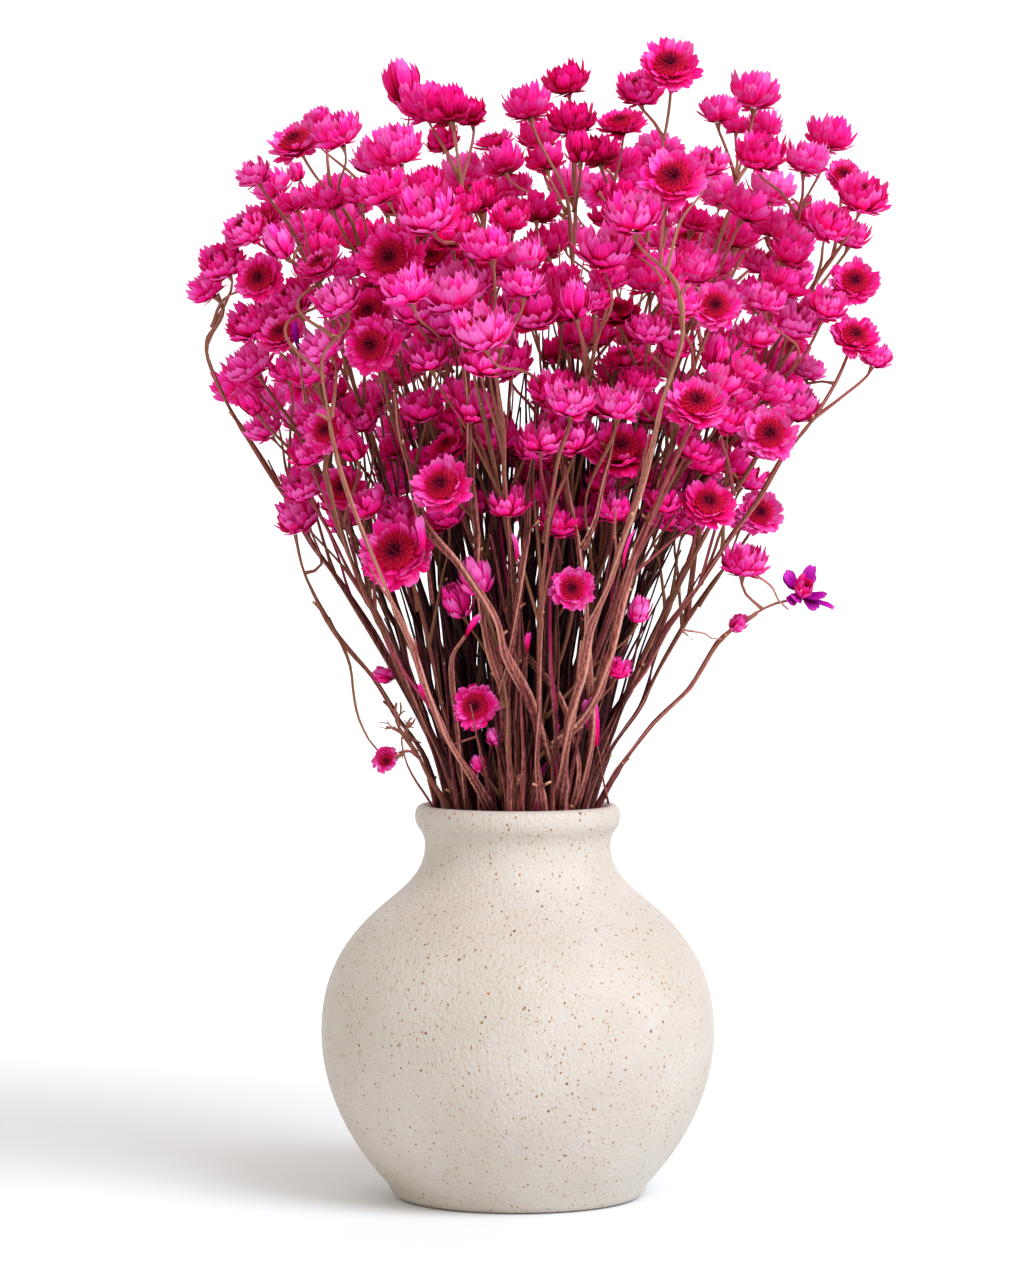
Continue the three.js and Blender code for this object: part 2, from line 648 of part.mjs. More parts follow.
function headRings(head, frame) {
  const { form, width } = head;
  const petals = Math.min(form.petals, Math.max(FEWEST_PETALS, Math.round(width / PETAL_PITCH)));
  const rings = form.rings.map(({ tip, dip, turn }) => {
    const points = [];
    for (let petal = 0; petal < petals; petal++) {
      const angle = (2 * Math.PI * (petal + turn)) / petals;
      points.push(onFrame(frame, angle, tip[0] * width, tip[1] * width));
      if (dip) points.push(onFrame(frame, angle + Math.PI / petals, dip[0] * width, dip[1] * width));
    }
    return { points, turn: turn / petals };
  });
  return [...rings, { points: [onFrame(frame, 0, 0, form.top * width)], turn: 0 }];
}

// Faces between two rings of points that both run anticlockwise about the way forward
function bridge(low, high, faces) {
  const lows = low.points.length;
  const highs = high.points.length;
  let i = 0;
  let j = 0;
  while ((lows > 1 && i < lows) || (highs > 1 && j < highs)) {
    const nextLow = lows > 1 && i < lows ? (i + 1) / lows + low.turn : Infinity;
    const nextHigh = highs > 1 && j < highs ? (j + 1) / highs + high.turn : Infinity;
    const from = low.start + (i % lows);
    const to = high.start + (j % highs);
    const even = Math.abs(nextLow - nextHigh) < 1e-6;
    if (even ? lows < highs : nextLow < nextHigh) {
      i += 1;
      faces.push(from, low.start + (i % lows), to);
    } else {
      j += 1;
      faces.push(from, high.start + (j % highs), to);
    }
  }
}

// A closed skin over a row of rings, flat at its start and ending in a point
function skin(rings) {
  const positions = [];
  const faces = [];
  for (const ring of rings) {
    ring.start = positions.length / 3;
    for (const point of ring.points) positions.push(...point.toArray());
  }
  for (let k = 2; k < rings[0].points.length; k++) faces.push(0, k, k - 1);
  for (let k = 1; k < rings.length; k++) bridge(rings[k - 1], rings[k], faces);
  const geometry = new THREE.BufferGeometry();
  geometry.setAttribute("position", new THREE.Float32BufferAttribute(positions, 3));
  geometry.setIndex(faces);
  return geometry;
}

function solidOf(geometry) {
  return new wasm.Manifold(
    new wasm.Mesh({
      numProp: 3,
      vertProperties: geometry.getAttribute("position").array,
      triVerts: new Uint32Array(geometry.index.array),
    }),
  );
}

// One stem with its head: thick ones thin out towards the head
function stemSolid({ points, head, thick }) {
  const frames = framesAlong(points, head.axis);
  const last = frames.length - 1;
  const rings = frames.map((frame, k) => {
    const thinned = STEM_RADIUS + ((STEM_TIP_RADIUS - STEM_RADIUS) * k) / last;
    return stemRing(frame, thick && k < last ? thinned : PEDICEL_RADIUS);
  });
  return solidOf(skin([...rings, ...headRings(head, frames[last])]));
}

function spraySolid({ stems }) {
  return stems.map(stemSolid).reduce((whole, stem) => whole.add(stem));
}

// The vase's outline, closed on its axis at the foot and at the inside floor
function vaseOutline() {
  const outline = [new THREE.Vector2(0, 0), new THREE.Vector2(FOOT_RADIUS, 0)];
  for (const [steps, ...handles] of VASE_CURVES) {
    const points = handles.map((handle) => new THREE.Vector2(...handle));
    const curve = new THREE.CubicBezierCurve(outline[outline.length - 1], ...points);
    outline.push(...curve.getPoints(steps).slice(1));
  }
  outline.push(new THREE.Vector2(0, FLOOR_HEIGHT));
  return outline;
}

function vaseSolid() {
  const turned = new THREE.LatheGeometry(vaseOutline(), VASE_SIDES).rotateX(Math.PI / 2);
  turned.deleteAttribute("normal");
  turned.deleteAttribute("uv");
  return solidOf(mergeVertices(turned, 1e-4));
}

const stoneware = new THREE.MeshStandardMaterial({ color: 0xe9ded2, roughness: 0.5, metalness: 0 });
const dyedBracts = new THREE.MeshStandardMaterial({ color: 0xee2f93, roughness: 0.7, metalness: 0 });
const driedStem = new THREE.MeshStandardMaterial({ color: 0x7d4c40, roughness: 0.8, metalness: 0 });

function meshOf(name, solid, material) {
  const { vertProperties, triVerts } = solid.getMesh();
  const geometry = new THREE.BufferGeometry();
  geometry.setAttribute("position", new THREE.BufferAttribute(vertProperties, 3));
  geometry.setIndex(new THREE.BufferAttribute(triVerts, 1));
  geometry.computeVertexNormals();
  const mesh = new THREE.Mesh(geometry, material);
  mesh.name = name;
  return mesh;
}

function buildEverlasting() {
  const group = new THREE.Group();
  group.add(meshOf("vase", vaseSolid(), stoneware));
  const bunch = new THREE.Group();
  for (const spray of laySprays()) {
    const material = spray.name === "curled_twig" ? driedStem : dyedBracts;
    bunch.add(meshOf(spray.name, spraySolid(spray), material));
  }
  return group.add(bunch);
}

const group = buildEverlasting();
export default group;
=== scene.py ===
# %% [markdown]
# # Dried winged everlasting in a stoneware vase
#
# The object is a bunch of dried winged everlasting: ridged, branched stems that carry small papery
# heads, dyed bright pink, in a round speckled vase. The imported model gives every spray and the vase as
# plain solids. This lesson dresses each of them with a finer piece that keeps its form and its place.

# %% Load the frame and measure the plain model
import math

import bmesh
import bpy
import numpy as np
from mathutils import Matrix, Vector, noise
from mathutils.geometry import interpolate_bezier


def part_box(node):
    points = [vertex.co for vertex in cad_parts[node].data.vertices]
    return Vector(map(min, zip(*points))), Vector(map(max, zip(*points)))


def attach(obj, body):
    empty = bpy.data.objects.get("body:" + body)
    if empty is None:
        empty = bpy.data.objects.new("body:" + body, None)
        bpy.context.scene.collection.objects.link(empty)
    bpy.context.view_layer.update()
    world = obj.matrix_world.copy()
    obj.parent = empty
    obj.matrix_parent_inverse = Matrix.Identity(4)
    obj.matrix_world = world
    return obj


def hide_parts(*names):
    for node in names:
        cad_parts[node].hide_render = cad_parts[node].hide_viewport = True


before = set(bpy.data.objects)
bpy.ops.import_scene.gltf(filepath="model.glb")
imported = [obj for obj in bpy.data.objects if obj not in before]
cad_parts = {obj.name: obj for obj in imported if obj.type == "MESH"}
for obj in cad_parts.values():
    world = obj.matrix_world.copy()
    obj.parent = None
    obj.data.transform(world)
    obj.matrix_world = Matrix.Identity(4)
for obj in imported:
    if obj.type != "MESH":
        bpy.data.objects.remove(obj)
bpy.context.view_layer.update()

MM = 0.001


def add_object(name, data):
    made = bpy.data.objects.new(name, data)
    bpy.context.scene.collection.objects.link(made)
    return made


def mesh_from(name, bm):
    """A smooth-shaded mesh of all that a bmesh holds. The bmesh is given up."""
    for face in bm.faces:
        face.smooth = True
    mesh = bpy.data.meshes.new(name)
    bm.to_mesh(mesh)
    bm.free()
    return mesh


print("nodes in the frame:", len(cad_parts))

# %% [markdown]
# ## The camera
#
# The photograph looks almost straight on, from the height of the lower heads. One pixel covers a third of
# a millimetre in the plane of the vase's axis, so the height of the picture gives the lens.

# %% Camera
PHOTO_HEIGHT = 1280
PIXEL = 0.33 * MM
EYE = Vector((-1.9, -1500, 240)) * MM
PICTURE_MIDDLE = Vector((-1.9, 0, 184)) * MM
SENSOR = 36

camera_data = bpy.data.cameras.new("studio_camera")
camera_data.sensor_width = SENSOR
camera_data.lens = SENSOR * (PICTURE_MIDDLE - EYE).length / (PHOTO_HEIGHT * PIXEL)
camera_data.clip_start = 0.05
camera_data.clip_end = 20
camera = add_object("studio_camera", camera_data)
camera.location = EYE
camera.rotation_euler = (PICTURE_MIDDLE - EYE).to_track_quat("-Z", "Y").to_euler()
bpy.context.scene.camera = camera
print("lens, mm:", round(camera_data.lens, 1))

# %% [markdown]
# ## Where everything grows
#
# A bunch looks natural when no two stems take the same way and none cuts through another. Each head was
# read from the photograph as a place across and up, a width and a form; its depth, and the way of its
# stem, are found by a rule. The rule and its seeded draws are those that placed the plain solids, so
# every finer head and stem lands where its solid is.

# %% Sizes of the vase and the bunch, in millimetres
BELLY_RADIUS = 65
BELLY_HEIGHT = 55
SHOULDER_RADIUS = 44
SHOULDER_HEIGHT = 97
NECK_RADIUS = 30.7
NECK_HEIGHT = 116.5
NECK_TOP = 119.5
RIM_RADIUS = 34
RIM_HEIGHT = 126
RIM_TOP = 131
MOUTH_RADIUS = 28.8
NECK_WALL = 3.3
BELLY_WALL = 4.2
FOOT_RADIUS = 38.5
FLOOR_HEIGHT = 6.5
FLOOR_RADIUS = 36
INNER_NECK = NECK_RADIUS - NECK_WALL
INNER_BELLY = BELLY_RADIUS - BELLY_WALL
INNER_SHOULDER = SHOULDER_RADIUS - BELLY_WALL

STEM_PLACES = 74
PLACES_RADIUS = 24.2
PLACE_TURN = math.pi * (3 - math.sqrt(5))
FOOT_SHARE = 0.7
STEM_FOOT_HEIGHT = FLOOR_HEIGHT + 0.6
FLARE_AT_NECK = 0.22

STEM_RADIUS = 1.5
PEDICEL_RADIUS = 0.85
STEM_STEPS = 5
PEDICEL_STEPS = 2
CLEARANCE = 0.45
CHECK_STEP = 2.5

FORK_DROP = 38
LOWEST_FORK = 0.3
HIGHEST_FORK = 0.9
FORK_SPREAD = 0.5
FOOT_REACH = 0.3
HEAD_REACH = (8, 24)
STEM_SWAY = 2
PEDICEL_SWAY = 0.5
SWAY_PER_TRY = 0.1
SPREAD_PER_TRY = 0.01
STEM_TRIES = 600
PEDICEL_TRIES = 500
PLACES_TRIED = 5
SAMPLE_PHASES = 4

FAN = [(116, 26), (170, 51), (210, 73), (240, 87), (262, 98), (300, 112), (330, 116), (350, 106),
       (370, 84), (390, 60)]
DEPTH_FOR_WIDTH = 0.82
EDGE_CHORD = 0.1
FAN_CENTRE = 95
HEAD_GAP = 0.5
DEPTH_STEP = 2
DEPTH_TRIES = 45
AIM_SWAY = 0.5
AIM_BACK = 0.3
OPEN_TURN = 0.75
HEIGHT_IN_ORDER = 1.2
EYE_DISTANCE = 1500
EYE_HEIGHT = 240

BACK_SPRAYS = 6
BACK_HEADS = 4
BACK_LOW = 232
BACK_HIGH = 352
BACK_REACH = 0.85
BACK_STEP = (math.sqrt(5) - 1) / 2
BACK_SPREAD = (17, 25)
BACK_DEPTH = 0.97
BACK_WIDTHS = (13, 19)
BACK_FORMS = ["open", "side", "turned", "side", "bud"]

SEED = 20260
BACK_SEEDS = 1000
SPRAY_SEEDS = 5000
DRAW_FACTOR = 1664525
DRAW_STEP = 1013904223
DRAW_RANGE = 4294967296

# %% [markdown]
# Each form of head says how far it faces the viewer, and gives the ball that holds it: the height of its
# centre and its reach, both as shares of its width. Each spray has its depth, from -1 at the front to 1
# at the back, and its heads as across, height, width, form and millimetres behind the spray's front. A
# row leaves out the last value where it is the front, and then the form too where it is "side".

# %% Forms, sprays and strays as read from the photograph
FACING = {"open": 0.8, "turned": 0.42, "side": 0, "bud": 0, "starry": 0.4, "leaf": 0, "stub": 0}
CENTRE = {"open": 0.2, "turned": 0.2, "side": 0.38, "bud": 0.5, "starry": 0.2, "leaf": 0.5, "stub": 0.5}
REACH = {"open": 0.53, "turned": 0.53, "side": 0.53, "bud": 0.6, "starry": 0.53, "leaf": 0.65, "stub": 0.65}
front = 0
middle = 11
behind = 22
ROW_ENDS = ("side", front)

SPRAYS = {
    "left_1": (-0.9, [(-103, 301, 13), (-98, 309, 15), (-85, 303, 16, "open")]),
    "left_2": (-0.9, [(-90, 320, 14), (-87, 338, 11), (-79, 315, 12, "bud"),
        (-84, 322, 13, "turned", behind)]),
    "left_3": (-0.9, [(-73, 348, 18, "turned"), (-60, 352, 15), (-66, 356, 9, "side", middle)]),
    "left_4": (0.4, [(-76, 326, 16, "turned", middle), (-81, 334, 13, "side", middle), (-67, 330, 11),
        (-73, 338, 7, "bud", middle), (-70, 321, 14)]),
    "left_5": (0.85, [(-53, 327, 13, "turned", behind), (-60, 333, 13, "side", behind),
        (-59, 323, 13, "side", behind), (-55, 320, 13, "side", behind)]),
    "left_6": (-0.9, [(-60, 297, 15), (-65, 308, 15, "turned"), (-56, 307, 11, "side", behind),
        (-65, 282, 15)]),
    "left_7": (-0.9, [(-78, 285, 15, "turned"), (-75, 297, 15, "side", middle), (-89, 289, 15),
        (-84, 292, 10, "side", behind)]),
    "left_8": (-0.3, [(-89, 276, 16), (-88, 268, 11, "side", middle), (-88, 262, 9, "bud", middle),
        (-84, 255, 13)]),
    "left_9": (-0.9, [(-63, 253, 15, "open"), (-55, 248, 11, "bud"), (-69, 259, 7, "side", behind),
        (-51, 257, 10, "side", behind)]),
    "left_10": (-0.5, [(-71, 235, 13), (-73, 226, 16), (-58, 234, 15, "open")]),
    "left_11": (-0.9, [(-48, 281, 18, "open"), (-49, 292, 16, "open", middle),
        (-48, 299, 15, "turned", middle)]),
    "left_12": (-0.9, [(-42, 310, 20, "open"), (-37, 301, 16), (-35, 293, 13, "side", middle),
        (-40, 286, 11, "side", behind)]),
    "left_13": (0.3, [(-38, 279, 13, "side", middle), (-26, 277, 10, "bud"), (-29, 286, 14, "side", behind),
        (-49, 267, 9, "side", behind)]),
    "left_14": (-0.9, [(-40, 213, 24, "open"), (-41, 226, 13)]),
    "top_1": (-0.9, [(-31, 335, 13, "side", behind), (-41, 347, 18), (-45, 334, 15)]),
    "top_2": (0.1, [(-23, 360, 16), (-31, 361, 16, "side", middle), (-16, 358, 12, "side", middle),
        (-25, 349, 12, "side", behind)]),
    "top_3": (-0.9, [(-30, 326, 19), (-17, 328, 9, "side", behind)]),
    "top_4": (0.6, [(3, 361, 16, "side", middle), (7, 351, 15, "side", behind),
        (9, 343, 13, "side", behind), (-5, 342, 14)]),
    "top_5": (0.85, [(-8, 348, 15, "turned", middle), (-18, 338, 17, "side", behind),
        (-8, 331, 13, "side", behind), (-1, 334, 12)]),
    "top_6": (0, [(18, 356, 15, "side", middle), (16, 369, 15), (20, 346, 11, "bud")]),
    "top_7": (0.5, [(17, 335, 16, "side", behind), (9, 315, 15), (15, 318, 13, "side", behind)]),
    "top_8": (0.2, [(34, 354, 17, "turned"), (35, 342, 13, "side", behind), (40, 335, 14, "side", behind),
        (27, 345, 13, "side", middle)]),
    "top_9": (-0.5, [(50, 373, 20, "turned"), (40, 366, 15, "side", middle)]),
    "top_10": (-0.9, [(51, 336, 20, "open"), (63, 342, 12), (38, 325, 17)]),
    "right_1": (0.2, [(78, 365, 17), (66, 359, 13), (72, 354, 9, "side", behind),
        (81, 354, 12, "side", behind)]),
    "right_2": (-0.4, [(103, 351, 16), (95, 343, 14), (80, 345, 16)]),
    "right_3": (-0.9, [(114, 331, 16), (107, 337, 12, "turned", middle), (103, 322, 15),
        (110, 318, 12, "side", behind)]),
    "right_4": (0.8, [(72, 319, 17), (67, 332, 15, "side", behind), (83, 333, 16, "side", behind),
        (93, 324, 10, "side", behind)]),
    "right_5": (0.6, [(90, 306, 15, "side", middle), (90, 316, 15, "side", behind), (81, 309, 13),
        (83, 322, 14, "side", middle)]),
    "right_6": (-0.9, [(111, 302, 16, "open"), (102, 295, 13), (91, 291, 18, "side", middle),
        (82, 297, 12, "side", middle), (79, 286, 14, "side", middle)]),
    "right_7": (-0.9, [(111, 284, 16, "turned"), (118, 278, 11), (96, 274, 11, "side", behind)]),
    "right_8": (0.1, [(86, 274, 18), (90, 280, 13, "turned", behind), (92, 262, 15, "side", behind)]),
    "right_9": (-0.9, [(83, 252, 18, "open"), (69, 258, 13)]),
    "mid_1": (-0.9, [(-22, 300, 19), (-28, 310, 15, "turned", behind), (-22, 313, 12, "side", behind),
        (-13, 303, 11, "side", middle)]),
    "mid_2": (-0.9, [(-10, 315, 15), (1, 311, 15), (1, 302, 13), (-3, 324, 13, "side", behind)]),
    "mid_3": (-0.9, [(4, 295, 20), (-12, 287, 18), (-4, 277, 16, "side", behind)]),
    "mid_4": (-0.9, [(25, 297, 11, "side", middle), (28, 314, 18), (19, 296, 12, "bud"),
        (15, 304, 11, "side", behind), (30, 304, 12, "side", behind)]),
    "mid_5": (-0.9, [(44, 306, 20), (33, 292, 15, "turned", middle), (38, 313, 8, "turned", behind)]),
    "mid_6": (0.9, [(56, 316, 14, "turned", behind), (47, 317, 13, "side", behind),
        (60, 321, 12, "side", behind), (65, 307, 13, "side", behind)]),
    "mid_7": (-0.9, [(65, 294, 16, "open"), (54, 296, 13), (43, 287, 13, "side", middle),
        (65, 278, 12, "bud", behind), (58, 307, 14, "side", middle)]),
    "mid_8": (-0.4, [(36, 277, 16, "turned"), (19, 285, 12, "side", behind), (11, 279, 9, "bud", behind),
        (26, 286, 13, "side", behind)]),
    "mid_9": (-0.9, [(59, 262, 20, "turned"), (63, 229, 18, "turned")]),
    "low_1": (0.2, [(-16, 262, 13, "side", middle), (-22, 257, 10, "side", middle),
        (-10, 257, 12, "side", middle), (-1, 246, 11, "bud"), (4, 239, 12)]),
    "low_2": (-0.9, [(-25, 235, 19, "open"), (-23, 248, 14, "turned", behind)]),
    "low_3": (-0.9, [(17, 264, 15), (18, 252, 15), (11, 254, 12, "side", middle),
        (9, 245, 12, "side", middle)]),
    "low_4": (-0.9, [(34, 247, 22, "turned"), (33, 263, 15), (32, 228, 12, "side", middle),
        (40, 270, 12, "side", middle)]),
    "low_5": (0, [(80, 226, 15, "open"), (74, 224, 10, "side", middle)]),
    "low_6": (-0.8, [(-14, 205, 13, "bud"), (-20, 197, 12, "bud")]),
    "low_7": (-0.9, [(-14, 162, 15, "open"), (-13, 143, 6, "bud"), (-8, 152, 6, "bud")]),
    "low_8": (-0.9, [(18, 201, 14, "open"), (40, 194, 9, "bud"), (33, 175, 9)]),
}

STRAYS = {
    "right_stray": {
        "place": (25, -2),
        "route": [(26.6, -3, 129), (42, -6, 153), (57, -8, 171), (72, -10, 189), (82, -12, 196)],
        "head": (94, -14, 202, 16, "starry", (0.5, -0.5, 0.75)),
        "branches": [
            (0.8, [(74, -11, 200)], (74, -12, 211, 15, "side", (0.1, -0.2, 1))),
            (0.77, [], (72, -16, 190, 7, "bud", (0.5, -0.6, 0.6))),
            (0.9, [(83, -18, 202)], (89, -20, 194, 3, "stub", (0.5, -0.2, -0.8))),
        ],
    },
    "left_stray": {
        "place": (-25, -3),
        "route": [(-26.4, -4, 129), (-33, -5, 149), (-42, -8, 164), (-59, -12, 186), (-69, -14, 204)],
        "head": (-73, -16, 221, 4, "bud", (-0.2, 0, 1)),
        "branches": [
            (0.86, [(-64, -17, 209)], (-68, -18, 223, 3, "stub", (-0.2, 0, 1))),
            (0.72, [(-54, -18, 176), (-52, -18, 160), (-48, -18, 151)],
             (-43, -18, 145, 9, "open", (0.45, -0.2, -0.8))),
            (0.55, [], (-44, -14, 173, 7, "bud", (-0.9, -0.3, 0.2))),
        ],
    },
    "curled_twig": {
        "place": (-22, -12),
        "route": [(-23, -13.5, 129), (-29, -17, 140), (-34, -21, 150)],
        "head": (-39, -24, 162, 6, "leaf", (0.1, -0.2, 1)),
        "branches": [
            (0.7, [], (-43, -23, 157, 5, "leaf", (-1, 0, 0.3))),
            (0.8, [], (-35, -28, 158, 5, "leaf", (0.5, -0.4, 0.7))),
            (0.66, [], (-38, -26, 148, 4, "leaf", (-0.6, -0.4, -0.3))),
        ],
    },
}

# %% [markdown]
# The small generator of numbers below is the same one that placed the solids, so that its draws repeat
# exactly. Positions are kept as double-precision arrays for the same reason.

# %% Draws and the outline of the bunch
def seeded(seed):
    """A small generator of numbers from 0 to 1."""
    state = seed

    def draw():
        nonlocal state
        state = (state * DRAW_FACTOR + DRAW_STEP) % DRAW_RANGE
        return state / DRAW_RANGE

    return draw


def between(ends, share):
    return ends[0] + (ends[1] - ends[0]) * share


def either_way(reach, draw):
    """A drawn number from minus the reach to the reach."""
    return between((-reach, reach), draw())


def limited(value, low, high):
    return min(high, max(low, value))


def unit(vector):
    return vector / math.sqrt(vector @ vector)


def half_width_at(height):
    after = next((k for k, (level, _) in enumerate(FAN) if level > height), len(FAN))
    if after == 0:
        return FAN[0][1]
    if after == len(FAN):
        return FAN[-1][1]
    (low, width_low), (high, width_high) = FAN[after - 1], FAN[after]
    return between((width_low, width_high), (height - low) / (high - low))


def share_out(point):
    """How far out of the bunch a point is: 0 at its axis and 1 at its skin."""
    return math.hypot(point[0], point[1] / DEPTH_FOR_WIDTH) / half_width_at(point[2])


def depth_at(across, height, share):
    half = half_width_at(height)
    chord = math.sqrt(max(half * half - across * across, EDGE_CHORD * half * half))
    return share * DEPTH_FOR_WIDTH * chord


def seen_at(across, height, depth):
    reach = (EYE_DISTANCE + depth) / EYE_DISTANCE
    return np.array([across * reach, depth, EYE_HEIGHT + (height - EYE_HEIGHT) * reach])


# %% Heads
settled = []


def make_head(centre, width, form, axis):
    base = centre - axis * CENTRE[form] * width
    return {"centre": centre, "width": width, "form": form, "axis": axis, "base": base,
            "reach": REACH[form] * width}


def aim_of(row, depth, looks, draw):
    across, height, _, form, _ = row
    facing = FACING[form]
    out = unit(np.array([across, 0.0, height - FAN_CENTRE]))
    sway = np.array([draw() - 0.5, draw() - 0.5, draw() - 0.5]) * AIM_SWAY
    away = np.array([0.0, looks * facing + AIM_BACK * depth * (1 - facing), 0.0])
    return unit(out * (1 - OPEN_TURN * facing) + away + sway)


def has_room(head, share=1, gap=HEAD_GAP):
    """Whether a head keeps a share of its own reach and of the others', and a gap, away from them."""
    return all(math.dist(head["centre"], other["centre"]) > share * (head["reach"] + other["reach"]) + gap
               for other in settled)


def settle_head(row, depth, looks, number):
    """Moves the head in or out from its wanted depth until it clears the heads before it."""
    across, height, width, form, back = row
    axis = aim_of(row, depth, looks, seeded(SEED + number))
    wanted = depth_at(across, height, depth) + back
    inward = DEPTH_STEP if wanted < 0 else -DEPTH_STEP
    for attempt in range(DEPTH_TRIES):
        for shift in (attempt * inward, -0.5 * attempt * inward):
            head = make_head(seen_at(across, height, wanted + shift), width, form, axis)
            if has_room(head):
                settled.append(head)
                return head
    raise RuntimeError(f"no room for the head at {across}, {height}")


def back_rows(spray):
    """One spray at the back: its leading head, with the others in a ring round it."""
    draw = seeded(SEED + BACK_SEEDS + spray)
    height = BACK_LOW + (BACK_HIGH - BACK_LOW) * (((spray + 0.5) * BACK_STEP) % 1)
    across = ((2 * spray + 1) / BACK_SPRAYS - 1) * BACK_REACH * half_width_at(height)
    rows = []
    for order in range(BACK_HEADS):
        turn = order * PLACE_TURN + draw()
        spread = 0 if order == 0 else between(BACK_SPREAD, draw())
        width = math.floor(between(BACK_WIDTHS, draw()) + 0.5)
        form = BACK_FORMS[(order + spray) % len(BACK_FORMS)]
        row = (across + spread * math.cos(turn), height + spread * math.sin(turn), width, form, front)
        rows.append((f"back_{spray + 1}", order, row, BACK_DEPTH, 1))
    return rows


def listed_heads():
    rows = [(name, order, (*row, *ROW_ENDS[len(row) - 3:]), depth, -1)
            for name, (depth, heads) in SPRAYS.items() for order, row in enumerate(heads)]
    for spray in range(BACK_SPRAYS):
        rows.extend(back_rows(spray))
    numbered = [(*entry, number) for number, entry in enumerate(rows)]
    return sorted(numbered, key=lambda entry: -abs(entry[3]))


# %% [markdown]
# A stem tries one bent way after another until it clears every head and every stem of the other sprays.
# The test compares points along the stem with all that stands near it, in one step for the whole stem.

# %% Ways for the stems
places = [PLACES_RADIUS * math.sqrt((k + 0.5) / STEM_PLACES)
          * np.array([math.cos(k * PLACE_TURN), math.sin(k * PLACE_TURN)]) for k in range(STEM_PLACES)]
laid = []


def nearest_places(wanted):
    return sorted(places, key=lambda place: math.dist(place, wanted))


def take_place(taken):
    places[:] = [place for place in places if place is not taken]


def samples_along(points):
    samples = []
    for start, end in zip(points[:-1], points[1:]):
        steps = max(1, math.ceil(math.dist(start, end) / CHECK_STEP))
        samples.append(start + (end - start) * (np.arange(steps) / steps)[:, None])
    return np.concatenate(samples)


def obstacles_for(name, own_head):
    others = [head for head in settled if head is not own_head]
    points = [np.array([head["centre"] for head in others])]
    rooms = [np.array([head["reach"] + CLEARANCE for head in others])]
    for owner, samples, radius in laid:
        if owner != name:
            points.append(samples)
            rooms.append(np.full(len(samples), radius + 2 * CLEARANCE))
    return np.concatenate(points), np.concatenate(rooms)


def clears_mouth(samples, radius):
    height = samples[:, 2]
    share = np.clip((height - NECK_TOP) / (RIM_HEIGHT - NECK_TOP), 0, None)
    mouth = np.where(height < NECK_TOP, INNER_NECK, between((INNER_NECK, MOUTH_RADIUS), share))
    out = np.hypot(samples[:, 0], samples[:, 1]) + radius + CLEARANCE
    return bool(np.all((height > RIM_TOP) | (out < mouth)))


def is_clear(samples, radius, obstacles):
    """Tests every fourth sample first, then the ones between, so that most bad ways end early."""
    if not clears_mouth(samples, radius):
        return False
    points, rooms = obstacles
    gaps = rooms + radius
    low = samples.min(0) - gaps.max()
    high = samples.max(0) + gaps.max()
    near = np.flatnonzero(np.all((points > low) & (points < high), axis=1))
    points = points[near]
    limits = gaps[near] ** 2 - (points ** 2).sum(axis=1)
    for phase in range(SAMPLE_PHASES):
        some = samples[phase::SAMPLE_PHASES]
        if np.any((some ** 2).sum(axis=1)[:, None] - 2 * some @ points.T <= limits):
            return False
    return True


def on_curve(start, first, second, end, shares):
    """Points at the given shares of a curve from start to end that two more points draw towards them."""
    shares = shares[:, None]
    rest = 1 - shares
    return (rest ** 3 * start + 3 * rest ** 2 * shares * first + 3 * rest * shares ** 2 * second
            + shares ** 3 * end)


def bend(start, start_way, end, end_way, draw, sway, steps):
    """Points on a curve that leaves its start along one way and reaches its end along another."""
    reach = FOOT_REACH * math.dist(start, end)
    first = start + start_way * reach + np.array([either_way(sway, draw), either_way(sway, draw), 0.0])
    second = end - end_way * min(reach, between(HEAD_REACH, draw()))
    second = second + np.array([either_way(sway, draw), either_way(sway, draw), 0.0])
    return on_curve(start, first, second, end, np.arange(steps + 1) / steps)


def wanted_place(head):
    half = half_width_at(head["centre"][2])
    share = np.array([head["centre"][0] / half, head["centre"][1] / (DEPTH_FOR_WIDTH * half)])
    return share / max(1, math.hypot(*share)) * PLACES_RADIUS


def route_stem(head, draw, name):
    """A main stem from its place in the neck up to a head."""
    obstacles = obstacles_for(name, head)
    near = nearest_places(wanted_place(head))
    for attempt in range(STEM_TRIES):
        place = near[attempt % PLACES_TRIED]
        flare = FLARE_AT_NECK / PLACES_RADIUS
        start = np.array([*place, NECK_HEIGHT])
        way = unit(np.array([*(place * flare), 1.0]))
        sway = STEM_SWAY + attempt * SWAY_PER_TRY
        points = bend(start, way, head["base"], head["axis"], draw, sway, STEM_STEPS)
        if is_clear(samples_along(points), STEM_RADIUS, obstacles):
            take_place(place)
            return place, points
    return None


def route_to_lead(heads, draw, name):
    """The first head that a stem can reach leads the spray."""
    for head in heads:
        routed = route_stem(head, draw, name)
        if routed:
            return head, *routed
    raise RuntimeError(f"no way through for the stem of {name}")


def point_on(points, share):
    along = share * (len(points) - 1)
    leg = min(math.floor(along), len(points) - 2)
    step = points[leg + 1] - points[leg]
    return points[leg] + step * (along - leg), unit(step)


